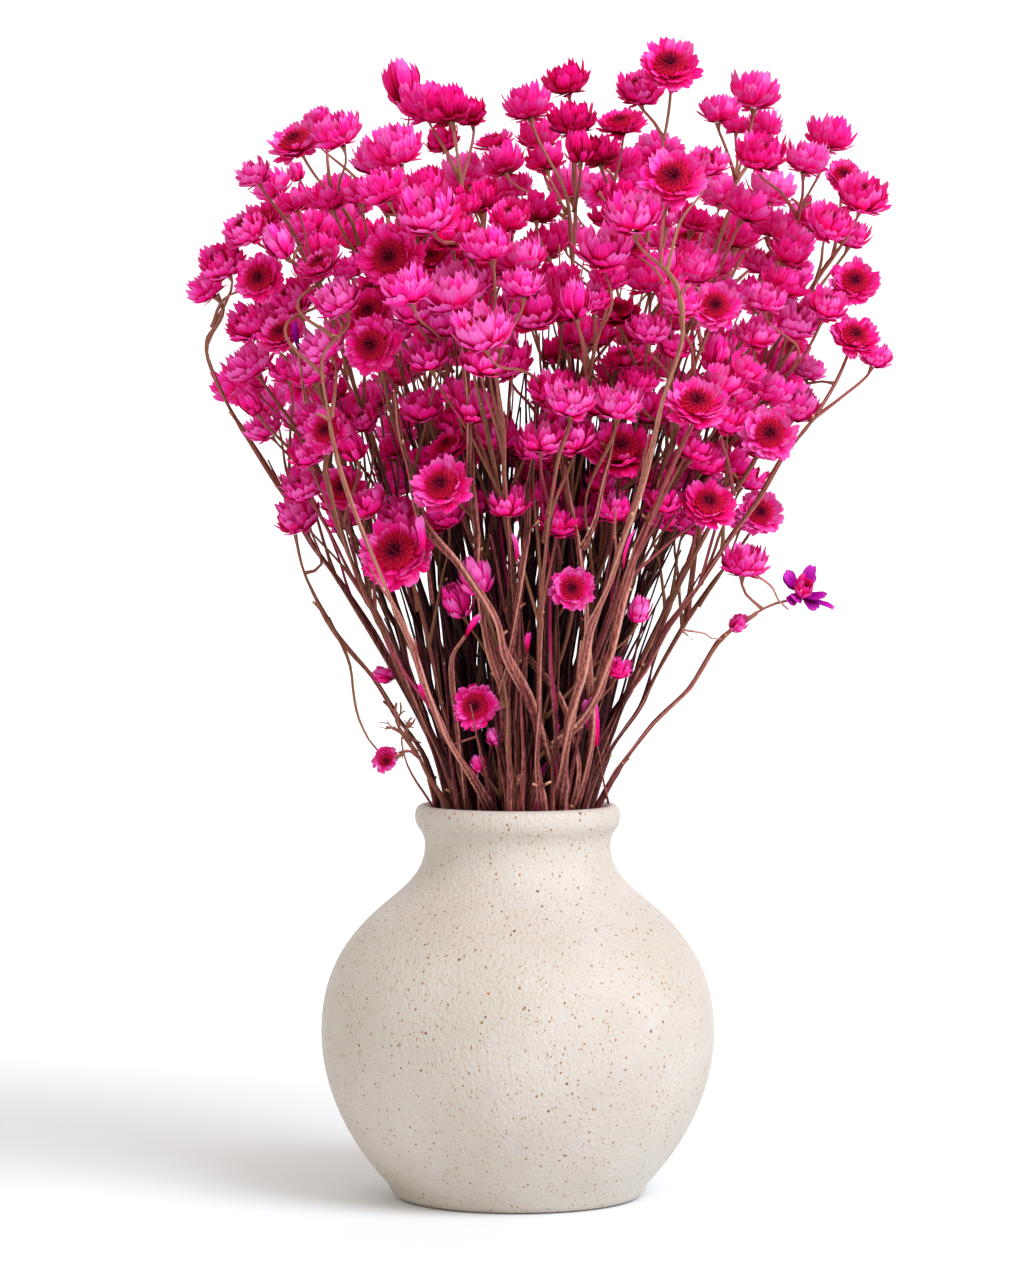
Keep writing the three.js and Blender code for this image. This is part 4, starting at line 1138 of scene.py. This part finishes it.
def disc_mesh():
    draw = seeded(SEED)
    bm = bmesh.new()
    layers = float_layers(bm, "along", "tone")
    add_dome(bm, layers)
    for k in range(FLORETS):
        long = FLORET_LENGTH * between(FLORET_SIZES, draw())
        add_floret(bm, layers, math.sqrt((k + 0.5) / FLORETS), k * PLACE_TURN, long, draw())
    return mesh_from("disc", bm)


disc = disc_mesh()
print("faces of a disc:", len(disc.polygons))

# %% [markdown]
# ## Stems
#
# The stems of this everlasting are winged: thin lengthwise ridges run along them and slowly turn round.
# A stem is one grid, rolled up along its way. Each row becomes a section, its radius raised at the
# ridges and at the nodes where leaves once grew, and the seam is welded shut. Stems deep in the bunch
# are darker, as if in the shade of the many more that a real bunch holds.

# %% Ways made smooth
def smooth_way(points, start_way, end_way, spacing):
    """A smooth way through the points, with a point about every spacing millimetres."""
    ways = [points[min(k + 1, len(points) - 1)] - points[max(k - 1, 0)] for k in range(len(points))]
    ways = [unit(way) for way in ways]
    if start_way is not None:
        ways[0] = start_way
    ways[-1] = end_way
    smooth = []
    for k, (start, end) in enumerate(zip(points[:-1], points[1:])):
        length = math.dist(start, end)
        first = start + ways[k] * length / 3
        second = end - ways[k + 1] * length / 3
        steps = max(2, math.ceil(length / spacing))
        smooth.append(on_curve(start, first, second, end, np.arange(steps) / steps))
    return np.concatenate([*smooth, points[-1:]])


def frames_along(way):
    """Two crosswise directions at each point of a way, carried along it without twist."""
    steps = np.gradient(way, axis=0)
    steps /= np.linalg.norm(steps, axis=1)[:, None]
    across = np.array([1.0, 0.3, 0.0])
    frames = []
    for step in steps:
        across = unit(across - step * (across @ step))
        frames.append((across, np.cross(step, across)))
    return frames


def lengths_along(way):
    return np.concatenate([[0], np.cumsum(np.linalg.norm(np.diff(way, axis=0), axis=1))])


def resampled(way, distances):
    """Points of the way at the given distances from its start."""
    lengths = lengths_along(way)
    return np.stack([np.interp(distances, lengths, way[:, k]) for k in range(3)], axis=1)


# %% A stem as one rolled grid
WING_TURN = 130
INSIDE_DARKER = 0.88
SHADE_START = 1.25
SHADE_TOP = 300
SHADE_FADE = 60
SECTION = {"main": [1.4, 0.75, 1.1, 0.75, 0.95, 1.4, 0.75, 1.1, 0.75, 0.95],
           "fine": [1.25, 0.8, 1.0, 1.15, 0.8, 1.0], "bare": [1.2, 0.85, 1.0, 0.85, 1.0]}


def shade_inside(point):
    """How much shade a point gets: most of it inside the bunch, and none near the top."""
    below_top = limited((SHADE_TOP - point[2]) / SHADE_FADE, 0, 1)
    return limited(SHADE_START - share_out(point), 0, 1) * below_top


def add_stem(bm, layers, way, radii, section, **marks):
    """Rolls a grid round a way. The radii and the marks have one value for each point, or one for all."""
    rows, sides = len(way) + 2, len(section)
    grid = bmesh.ops.create_grid(bm, x_segments=rows - 1, y_segments=sides, size=1)["verts"]
    frames = frames_along(way)
    lengths = lengths_along(way)
    values = {name: np.broadcast_to(value, len(way)).copy() for name, value in marks.items()}
    # Painted shade: stems inside the bunch are darkened, most low down and not at all near the top.
    values["tone"] -= INSIDE_DARKER * np.array([shade_inside(point) for point in way])
    for k, vert in enumerate(grid):
        row, side = k % rows, k // rows
        point = min(max(row - 1, 0), len(way) - 1)
        radius = radii[point] if 0 < row < rows - 1 else 0
        angle = 2 * math.pi * (side % sides / sides + lengths[point] / WING_TURN)
        across, aside = frames[point]
        out = radius * section[side % sides]
        vert.co = Vector(way[point] + across * out * math.cos(angle) + aside * out * math.sin(angle)) * MM
        vert[layers["ridge"]] = section[side % sides]
        for name, value in values.items():
            vert[layers[name]] = value[point]


# %% [markdown]
# Down the length of each main stem sit a few nodes: slight swellings, often with the stubs of broken
# leaves or branches, some of which end in a pale scar. A flare at the top of each stem makes the cup that
# holds its head.

# %% The stems of one spray
STEM_THINNING = [(0, 1.42), (0.38, 1.32), (0.56, 0.95), (0.7, 0.7), (1, 0.48)]
STRAY_THINNING = [(0, 1.5), (0.35, 1.2), (0.6, 0.85), (1, 0.45)]
STEM_SIZES = (0.78, 1.18)
SIDE_STEM_RADII = (0.58, 0.45)
STRAY_SIDE_RADII = (0.5, 0.42)
NODE_EVERY = 34
NODE_SWELL = 0.3
NODE_LENGTH = 2.2
NODE_SHIFT = 9
TOP_NODE_BELOW = 12
KINK_EVERY = 17
KINK = 1.3
KINK_FADE = 25
STUB_LENGTHS = (0.8, 5.5)
STUB_LEANS = (0.5, 1.6)
STUB_RADII = [0.7, 0.5, 0.4]
STUBS_WITHOUT_SCAR = 0.4
STEM_STAIN = 0.4
YOUNG_TOP = 0.6
CUP_FLARE = 0.055
CUP_CURVE = 1.5
CUP_STEPS = [3, 1.8, 0.9, 0.3, 0]
MAIN_SPACING = 3.4
HIDDEN_SPACING = 10
FINE_SPACING = 3.6


def kinked(way, draw):
    """The small kinks of a real stem at its joints, none at its two ends."""
    lengths = lengths_along(way)
    joints = np.arange(0, lengths[-1] + KINK_EVERY, KINK_EVERY) + KINK_EVERY * 0.5 * draw()
    offsets = np.array([[either_way(KINK, draw) for _ in range(3)] for _ in joints])
    fade = np.clip(np.minimum(lengths, lengths[-1] - lengths) / KINK_FADE, 0, 1)
    moves = np.stack([np.interp(lengths, joints, offsets[:, k]) for k in range(3)], axis=1)
    return way + moves * fade[:, None]


def with_cup_steps(way, hidden, spacing):
    """Few points where the vase hides the stem, even ones above, and close ones where the cup flares."""
    lengths = lengths_along(way)
    flare_start = lengths[-1] - CUP_STEPS[0]
    below = np.arange(0, hidden, HIDDEN_SPACING)
    above = np.arange(hidden, flare_start - spacing / 2, spacing)
    return resampled(way, np.concatenate([below, above, lengths[-1] - np.array(CUP_STEPS)]))


def cup_swell(lengths, width):
    return CUP_FLARE * width * np.clip(1 - (lengths[-1] - lengths) / CUP_STEPS[0], 0, 1) ** CUP_CURVE


def outward(draw):
    """A drawn level direction."""
    turn = draw() * 2 * math.pi
    return np.array([math.cos(turn), math.sin(turn), 0.0])


def add_stub(bm, layers, point, way, draw, tone):
    """The broken stub of a leaf stalk, leaning out and up from its node."""
    out = outward(draw)
    long = between(STUB_LENGTHS, draw() ** 2)
    reach = unit(unit(way) * between(STUB_LEANS, draw()) + out)
    path = np.array([point, point + reach * long * 0.6, point + reach * long + out * long * 0.15])
    scar = [0, 0, float(draw() > STUBS_WITHOUT_SCAR)]
    add_stem(bm, layers, path, STUB_RADII, SECTION["bare"], tone=tone, scar=scar)


def add_stubs(bm, layers, way, lengths, places, draw, tone):
    for place in places:
        k = int(np.searchsorted(lengths, place))
        for _ in range(math.floor(draw() * 3)):
            add_stub(bm, layers, way[k], way[k] - way[k - 1], draw, tone)


def add_main_stem(bm, layers, points, head, draw, tone, thinning):
    way = kinked(smooth_way(points, None, head["axis"], MAIN_SPACING), draw)
    way = with_cup_steps(way, RIM_HEIGHT - STEM_FOOT_HEIGHT, MAIN_SPACING)
    lengths = lengths_along(way)
    share = lengths / lengths[-1]
    places = np.arange(RIM_TOP, lengths[-1] - TOP_NODE_BELOW, NODE_EVERY)
    places = places + [either_way(NODE_SHIFT, draw) for _ in places]
    swell = sum(np.exp(-((lengths - place) / NODE_LENGTH) ** 2) for place in places)
    radii = np.interp(share, *zip(*thinning)) * between(STEM_SIZES, draw()) * (1 + NODE_SWELL * swell)
    stain = STEM_STAIN * draw() ** 3 * np.clip(share * 1.4 - 0.3, 0, 1)
    young = YOUNG_TOP * np.clip((share - 0.55) / 0.35, 0, 1)
    add_stem(bm, layers, way, radii + cup_swell(lengths, head["width"]), SECTION["main"],
             tone=tone, stain=stain, young=young)
    add_stubs(bm, layers, way, lengths, places, draw, tone)
    return way, share


def add_side_stem(bm, layers, points, head, draw, tone, ends):
    way = kinked(smooth_way(points, None, head["axis"], FINE_SPACING), draw)
    way = with_cup_steps(way, 0, FINE_SPACING)
    lengths = lengths_along(way)
    radii = np.interp(lengths / lengths[-1], (0, 1), ends) + 0.2 * np.exp(-lengths / 3)
    add_stem(bm, layers, way, radii + cup_swell(lengths, head["width"]), SECTION["fine"],
             tone=tone, stain=STEM_STAIN * draw() ** 3, young=YOUNG_TOP)


# %% [markdown]
# Between the flowering branches a dried bunch is full of bare ones: fine twigs that forked off, lost
# their heads and now end in a point. Each spray gets three long twigs from low down and three short ones.
# They make the dark thicket over the rim.

# %% Bare twigs
DYED_TWIGS = 0.07
LONG_TWIGS = [(0.28, (120, 200)), (0.33, (110, 190)), (0.36, (90, 150))]
LONG_LEANS = (0.03, 0.12)
SHORT_TWIGS = [((0.45, 0.6), (40, 90)), ((0.55, 0.8), (25, 60)), ((0.5, 0.75), (30, 70))]
SHORT_LEANS = (0.1, 0.26)
TWIG_SPACING = 5
TWIG_RADIUS = 0.3
TWIG_TIP_RADIUS = 0.28
THICKER_BY_LENGTH = 190
TWIG_TRIES = 8
TWIG_REACH = 0.9
TWIG_TOP = 325


def twig_way(start, along, long, lean, draw):
    """Start, middle and tip of a twig that stays inside the bunch."""
    for _ in range(TWIG_TRIES):
        out = outward(draw)
        tip = start + along * long + out * long * lean
        if share_out(tip) < TWIG_REACH and tip[2] < TWIG_TOP:
            break
        long *= 0.9
    return np.array([start, start + along * long * 0.5 + out * long * lean * 0.5, tip])


def fork(way, share, wanted):
    """The point of a stem at a share of its length, and the direction of the stem there."""
    k = int(np.argmin(np.abs(share - wanted)))
    return way[k], unit(way[min(k + 2, len(way) - 1)] - way[k - 1])


def add_twig(bm, layers, way, share, start_share, long, lean, draw, tone):
    """A twig that leaves the stem at a share of its length and ends in a point."""
    start, along = fork(way, share, start_share)
    points = twig_way(start, along, long, lean, draw)
    path = kinked(smooth_way(points, along, unit(points[2] - points[1]), TWIG_SPACING), draw)
    radii = np.linspace(TWIG_RADIUS + long / THICKER_BY_LENGTH, TWIG_TIP_RADIUS, len(path))
    stain = 0.8 if draw() < DYED_TWIGS else 0.1 * draw()
    add_stem(bm, layers, path, radii, SECTION["bare"], tone=tone, stain=stain)


def add_twigs(bm, layers, way, share, draw, tone):
    for start_share, reach in LONG_TWIGS:
        long = between(reach, draw())
        add_twig(bm, layers, way, share, start_share, long, between(LONG_LEANS, draw()), draw, tone)
    for starts, reach in SHORT_TWIGS:
        long = between(reach, draw())
        start_share = between(starts, draw())
        add_twig(bm, layers, way, share, start_share, long, between(SHORT_LEANS, draw()), draw, tone)


# %% [markdown]
# Smaller heads came late, on thin side twigs, and sit among and behind the larger ones. They fill the
# bunch with deep pink. Each looks for a place with room in the upper part of its own spray.

# %% Late heads
LATE_HEADS = 3
LATE_TRIES = 14
LATE_STARTS = (0.6, 0.86)
LATE_REACH = (22, 58)
LATE_LEANS = (0.25, 0.6)
LATE_OUTWARD = 0.6
LATE_SWAY = 0.15
LATE_WIDTHS = (12, 16.5)
LATE_HEIGHTS = (222, 345)
LATE_ROOM = 0.75


def late_head(way, share, draw):
    """A small head and the way of its twig, or nothing where the bunch has no room for it."""
    for _ in range(LATE_TRIES):
        start, along = fork(way, share, between(LATE_STARTS, draw()))
        points = twig_way(start, along, between(LATE_REACH, draw()), between(LATE_LEANS, draw()), draw)
        width = between(LATE_WIDTHS, draw())
        out = np.array([points[2][0], points[2][1], 0]) / half_width_at(points[2][2])
        upward = np.array([either_way(LATE_SWAY, draw), either_way(LATE_SWAY, draw), 1.0])
        axis = unit(LATE_OUTWARD * out + upward)
        head = make_head(points[2] + axis * CENTRE["side"] * width, width, "side", axis)
        inside = LATE_HEIGHTS[0] < head["centre"][2] < LATE_HEIGHTS[1]
        inside = inside and share_out(head["centre"]) < TWIG_REACH
        if inside and has_room(head, LATE_ROOM, 0):
            settled.append(head)
            return points, dict(head, form="late")
    return None


# %% [markdown]
# Some thick bare stems cross the front of the bunch and give it its tangle, and a few thin ones end in
# a small bud or a dyed leaf. Their ways were read from the photograph, as places across and up, with how
# far behind the skin of the bunch they run. Each belongs to a spray that stands near it, and gives its
# radius, that depth, its way, and the form, width and stuff of what it carries.

# %% Stems that cross in front
CROSSING_DEPTHS = [(118, -0.7), (180, -1)]
CROSSING_STEMS = {
    "low_2": [(1.55, 0, [(15.6, 118), (15.4, 128), (10.5, 144), (4.2, 164), (-3.4, 181), (-7.2, 192),
                         (-20, 209), (-30, 222), (-36, 238), (-39, 253), (-41, 266)], None)],
    "mid_3": [(1.45, 1, [(-4, 118), (-4, 135), (-5.3, 159), (-5.3, 168), (-9.7, 181), (-11.6, 192),
                         (-14, 222), (-17, 267), (-19, 282)], None),
              (1.0, 1, [(-5.3, 166), (-3.4, 174), (-2, 184), (-0.8, 197), (1, 213), (3, 224), (5, 246),
                        (6, 262)], None)],
    "low_4": [(1.5, -1, [(12, 149), (20.5, 156.5), (25.7, 165.5), (29, 178), (35, 197), (39, 212),
                         (44, 226), (47, 240)], None)],
    "low_8": [(1.2, 2, [(17, 120), (23.5, 143), (25.5, 159), (23.8, 178), (22, 197), (21, 216),
                        (17, 232), (14, 250)], None),
              (0.95, 2, [(21, 214), (26, 224), (30, 240), (32, 256)], None),
              (0.4, 3, [(10, 138), (12, 150)], ("blade", 7, "pink")),
              (0.4, 5, [(30, 130), (26, 150)], ("blade", 21, "pink"))],
    "low_3": [(1.1, 3, [(16, 120), (19.3, 140), (17.5, 153), (14.3, 162), (8, 172), (0.4, 184),
                        (-3, 200)], None),
              (0.4, 4, [(2, 165), (3, 180)], ("blade", 8, "pink")),
              (0.5, 8, [(4, 118), (6.5, 133)], ("blade", 13, "pink"))],
    "low_6": [(1.0, 1, [(-15, 118), (-18, 143), (-19.7, 159), (-21.4, 170), (-21.4, 179), (-17.3, 185.5)],
               ("blade", 10, "pink")),
              (0.5, 5, [(-24, 150), (-29, 162)], ("blade", 9, "pink")),
              (0.5, 4, [(-7, 160), (-6, 174)], ("blade", 11, "pink"))],
    "low_7": [(0.6, -5, [(-3, 118), (-2.5, 129), (0.2, 136)], ("bud", 4.6, "brown")),
              (0.5, -4, [(-13, 118), (-13.2, 134), (-13.3, 140)], None),
              (0.6, 0, [(-14, 152), (-17, 151), (-21, 149.5)], ("blade", 4, "brown"))],
    "left_7": [(0.5, 3, [(-70, 262), (-72.5, 280)], ("blade", 9, "violet"))],
    "left_13": [(0.5, 5, [(-28, 196), (-31, 214)], ("blade", 12, "pink"))],
    "mid_8": [(0.5, 6, [(29, 190), (34, 208)], ("blade", 14, "pink")),
              (0.5, 6, [(1, 196), (0, 210)], ("blade", 10, "pink"))],
    "right_stray": [
        (0.42, 4, [(75, 207), (81.4, 203.5), (84, 201), (85.7, 197.4), (89.3, 194)], None),
        (0.4, 6, [(54, 187.5), (61.8, 186.2), (63.6, 184.7), (67.5, 184.3)], None),
        (0.35, 3, [(92, 198.5), (94, 198)], ("blade", 11, "violet"))],
    "right_7": [(0.4, 0, [(54, 187), (56, 185.6)], ("blade", 5, "brown"))],
    "left_stray": [(0.5, 0, [(-22, 118), (-30, 131), (-36, 139), (-38.5, 147), (-38, 152),
                             (-32, 150)], None)],
}


CROSSING_THICK = 0.9
CROSSING_GOES_IN = 24
CROSSING_TAPER = 0.6
CROSSING_FIRST_NODE = 8
CROSSING_NODE_EVERY = NODE_EVERY * 0.7


def crossing_points(rows, back, going_in):
    """Points of such a stem, which goes further in over its upper half."""
    points = []
    for place, (across, height) in enumerate(rows):
        depth = depth_at(across, height, np.interp(height, *zip(*CROSSING_DEPTHS)))
        share = limited((place / (len(rows) - 1) - 0.5) * 2, 0, 1)
        points.append(seen_at(across, height, depth + back + going_in * share))
    return np.array(points)


def add_crossing_stem(bm, layers, stem, draw, tone):
    """Adds one of these stems and returns the head at its end, if it has one."""
    radius, back, rows, end = stem
    thick = radius > CROSSING_THICK
    points = crossing_points(rows, back, CROSSING_GOES_IN if thick and end is None else 0)
    axis = unit(points[-1] - points[-2])
    way = kinked(smooth_way(points, None, axis, MAIN_SPACING), draw)
    lengths = lengths_along(way)
    radii = radius * np.linspace(1, CROSSING_TAPER, len(way))
    add_stem(bm, layers, way, radii, SECTION["main" if thick else "fine"], tone=tone)
    if thick:
        places = np.arange(CROSSING_FIRST_NODE, lengths[-1], CROSSING_NODE_EVERY)
        add_stubs(bm, layers, way, lengths, places, draw, tone)
    if end is None:
        return None
    form, width, stuff = end
    return {"base": points[-1], "axis": axis, "width": width, "form": form, "stuff": stuff}


# %% [markdown]
# ## Build every spray
#
# Each spray becomes up to four pieces, by what they are made of: its stems, its pink bracts, its violet
# ones and its discs. The piece with the stems replaces the spray's solid. A head is placed by the same
# axis and base as in the solid, with a turn of its own. Two heads of the strays face the viewer more than
# their solids do, and the right stray's stub is drawn as one of the stems that cross in front.

# %% Heads on their stems
HEAD_TURNS = {"starry": (0.3, 0.3), "blade": (-2.2, -0.9)}
DEEP_START = 1.05
DEEP_SPREAD = (-0.3, 0.2)
HEART_DEEP = 0.2
LEAF_TONES = (0.5, 0.8)
LEAF_YOUNG = 0.3
REDRAWN = {("right_stray", "stub")}
HEAD_AIMS = {("right_stray", "starry"): unit(np.array([0.25, -0.8, 0.5])),
             ("left_stray", "open"): unit(np.array([0.35, -0.8, -0.45]))}


def head_matrix(head, turn, up=0.0, size=1.0):
    """Stands a head of unit width on its base, with a turn about its own axis."""
    stand = Vector(head["axis"]).to_track_quat("Z", "Y").to_matrix().to_4x4()
    scale = head["width"] * MM * size
    base = Vector(head["base"] + head["axis"] * up * head["width"]) * MM
    return Matrix.Translation(base) @ stand @ Matrix.Rotation(turn, 4, "Z") @ Matrix.Scale(scale, 4)


def add_copy(bm, mesh, matrix, **marks):
    """Adds a copy of a mesh to a bmesh, placed by a matrix, with the given marks on all of it."""
    before = len(bm.verts)
    bm.from_mesh(mesh)
    bm.verts.ensure_lookup_table()
    added = bm.verts[before:]
    bmesh.ops.transform(bm, matrix=matrix, verts=added)
    for name, value in marks.items():
        layer = bm.verts.layers.float[name]
        for vert in added:
            vert[layer] = value


def add_head(stuffs, head, draw):
    """Adds one head: its bracts in their own stuff, and the disc of a head that has opened."""
    form = head["form"]
    turn = between(HEAD_TURNS.get(form, (0, 2 * math.pi)), draw())
    if form not in head_meshes:
        return
    variants = head_meshes[form]
    mesh = variants[math.floor(draw() * len(variants))]
    matrix = head_matrix(head, turn)
    stuff = head.get("stuff", {"starry": "violet", "leaf": "brown"}.get(form, "pink"))
    if stuff == "brown":
        tone = between(LEAF_TONES, draw())
        add_copy(stuffs[stuff], mesh, matrix, ridge=1.0, tone=tone, young=LEAF_YOUNG)
        return
    # Painted shade: a head's bracts are darker the further inside the bunch it sits, with a drawn spread for
    # each head.
    inside = limited(DEEP_START - share_out(head["base"]), 0, 1)
    add_copy(stuffs[stuff], mesh, matrix, deep=inside + between(DEEP_SPREAD, draw()))
    if form == "starry":
        add_copy(stuffs["pink"], head_meshes["heart"][0], matrix, deep=HEART_DEEP)
    place = DISC_PLACE.get("open" if form == "turned" else form)
    if place:
        add_copy(stuffs["disc"], disc, head_matrix(head, turn, up=place[1], size=place[0]))


# %% The pieces of each spray
LOOK_SEEDS = 9000
STEM_TONES = (0.5, 0.95)
SIDE_TONE = 0.1
TWIGS_DARKER = 0.05
CROSSING_TONES = (0.75, 1.0)
SEAM_WELD = 0.0005 * MM
HEAD_PIECES = [("pink", "bracts", pink_bracts, "dyed_bracts"),
               ("violet", "violet_bracts", violet_bracts, "violet_bracts"),
               ("disc", "discs", fuzzy_disc, "flower_disc")]


def new_stuffs():
    """An empty bmesh for each stuff, with the marks that its material reads, and the marks of the wood."""
    stuffs = {stuff: bmesh.new() for stuff in ("brown", "pink", "violet", "disc")}
    layers = float_layers(stuffs["brown"], "tone", "ridge", "scar", "stain", "young")
    for stuff in ("pink", "violet"):
        float_layers(stuffs[stuff], "along", "across", "tone", "under", "deep")
    return stuffs, layers


def add_solid_stems(woods, layers, name, stems, draw, tone):
    """Adds the stems that the spray's solid has. Returns the way of the main one."""
    stray = name in STRAYS
    (points, lead), *others = stems
    thinning = STRAY_THINNING if stray else STEM_THINNING
    way, share = add_main_stem(woods, layers, points, lead, draw, tone, thinning)
    for points, head in others:
        if (name, head["form"]) not in REDRAWN:
            ends = STRAY_SIDE_RADII if stray else SIDE_STEM_RADII
            add_side_stem(woods, layers, points, head, draw, tone + either_way(SIDE_TONE, draw), ends)
    return way, share


def add_late_stems(woods, layers, way, share, draw, tone):
    """Adds the twigs of the late heads, each right after its head was drawn. Returns the heads."""
    added = []
    for _ in range(LATE_HEADS):
        found = late_head(way, share, draw)
        if found:
            points, head = found
            add_side_stem(woods, layers, points, head, draw, tone, SIDE_STEM_RADII)
            added.append(head)
    return added


def build_spray(name, stems, number):
    draw = seeded(SEED + LOOK_SEEDS + number)
    stuffs, layers = new_stuffs()
    woods = stuffs["brown"]
    tone = between(STEM_TONES, draw())
    way, share = add_solid_stems(woods, layers, name, stems, draw, tone)
    carried = [dict(head, axis=HEAD_AIMS.get((name, head["form"]), head["axis"])) for _, head in stems]
    if name not in STRAYS:
        add_twigs(woods, layers, way, share, draw, tone - TWIGS_DARKER)
        carried += add_late_stems(woods, layers, way, share, draw, tone)
    for stem in CROSSING_STEMS.get(name, []):
        head = add_crossing_stem(woods, layers, stem, draw, between(CROSSING_TONES, draw()))
        carried += [head] if head else []
    for head in carried:
        add_head(stuffs, head, draw)
    bmesh.ops.remove_doubles(woods, verts=woods.verts, dist=SEAM_WELD)
    bmesh.ops.recalc_face_normals(woods, faces=woods.faces)
    pieces = [finish_piece(f"{name}_stems", woods, dried_stem, name)]
    for stuff, suffix, material, slot in HEAD_PIECES:
        if stuffs[stuff].faces:
            pieces.append(finish_piece(f"{name}_{suffix}", stuffs[stuff], material))
        else:
            stuffs[stuff].free()
    return pieces


pieces = [piece for number, (name, stems) in enumerate(sprays.items())
          for piece in build_spray(name, stems, number)]
triangles = sum(len(polygon.vertices) - 2 for piece in pieces for polygon in piece.data.polygons)
print("pieces of the sprays:", len(pieces), "triangles:", triangles)

# %% [markdown]
# ## Studio
#
# The photograph was taken on a white sweep under large soft lights, the strongest one from the right and
# above. The sweep is matt, so it shows soft shadows and no reflections. It curves up into the back wall,
# so no horizon shows. Each light gives its place, what it points at, its size, its power and its colour.

# %% Floor, lights and surroundings
FLOOR_WIDTH = 6.0
FLOOR_FRONT = -2.5
WALL_PLACE = 2.2
WALL_HEIGHT = 3.0
SWEEP_RADIUS = 1.0
SWEEP_STEPS = 12
BUNCH_MIDDLE = (0, 0, 0.2)
LIGHTS = {
    "key_light": ((1.42, -1.34, 1.8), BUNCH_MIDDLE, 1.6, 57, "eaf3ff"),
    "front_light": ((0.3, -1.6, 1.9), BUNCH_MIDDLE, 1.2, 5, "ffffff"),
    "wall_light": ((0, 0.6, 1.5), (0, 2.2, 0.9), 1.2, 16, "ffffff"),
}
SURROUNDINGS = "fff7ec"
SURROUNDINGS_STRENGTH = 0.65


def build_floor():
    bm = bmesh.new()
    turns = [k * math.pi / (2 * SWEEP_STEPS) for k in range(SWEEP_STEPS + 1)]
    bend_points = [(WALL_PLACE - SWEEP_RADIUS * (1 - math.sin(turn)), SWEEP_RADIUS * (1 - math.cos(turn)))
                   for turn in turns]
    outline = [(FLOOR_FRONT, 0.0), *bend_points, (WALL_PLACE, WALL_HEIGHT)]
    verts = [bm.verts.new((-FLOOR_WIDTH / 2, y, z)) for y, z in outline]
    edges = [bm.edges.new(pair) for pair in zip(verts[:-1], verts[1:])]
    moved = bmesh.ops.extrude_edge_only(bm, edges=edges)["geom"]
    far_side = [vert for vert in moved if isinstance(vert, bmesh.types.BMVert)]
    bmesh.ops.translate(bm, verts=far_side, vec=(FLOOR_WIDTH, 0, 0))
    mesh = mesh_from("studio_floor", bm)
    material, _, shader = new_material("matt_white_sweep", Roughness=0.9)
    shader.inputs["Base Color"].default_value = linear("f2f5f8")
    mesh.materials.append(material)
    add_object("studio_floor", mesh)


def add_light(name, place, aim, size, power, code):
    light = bpy.data.lights.new(name, "AREA")
    light.shape = "DISK"
    light.size = size
    light.energy = power
    light.color = linear(code)[:3]
    lamp = add_object(name, light)
    lamp.location = place
    lamp.rotation_euler = (Vector(aim) - Vector(place)).to_track_quat("-Z", "Y").to_euler()


build_floor()
for light_name, light_values in LIGHTS.items():
    add_light(light_name, *light_values)

world = bpy.data.worlds.new("studio")
world.use_nodes = True
background = world.node_tree.nodes["Background"]
background.inputs["Color"].default_value = linear(SURROUNDINGS)
background.inputs["Strength"].default_value = SURROUNDINGS_STRENGTH
bpy.context.scene.world = world
bpy.context.scene.view_settings.view_transform = "Standard"
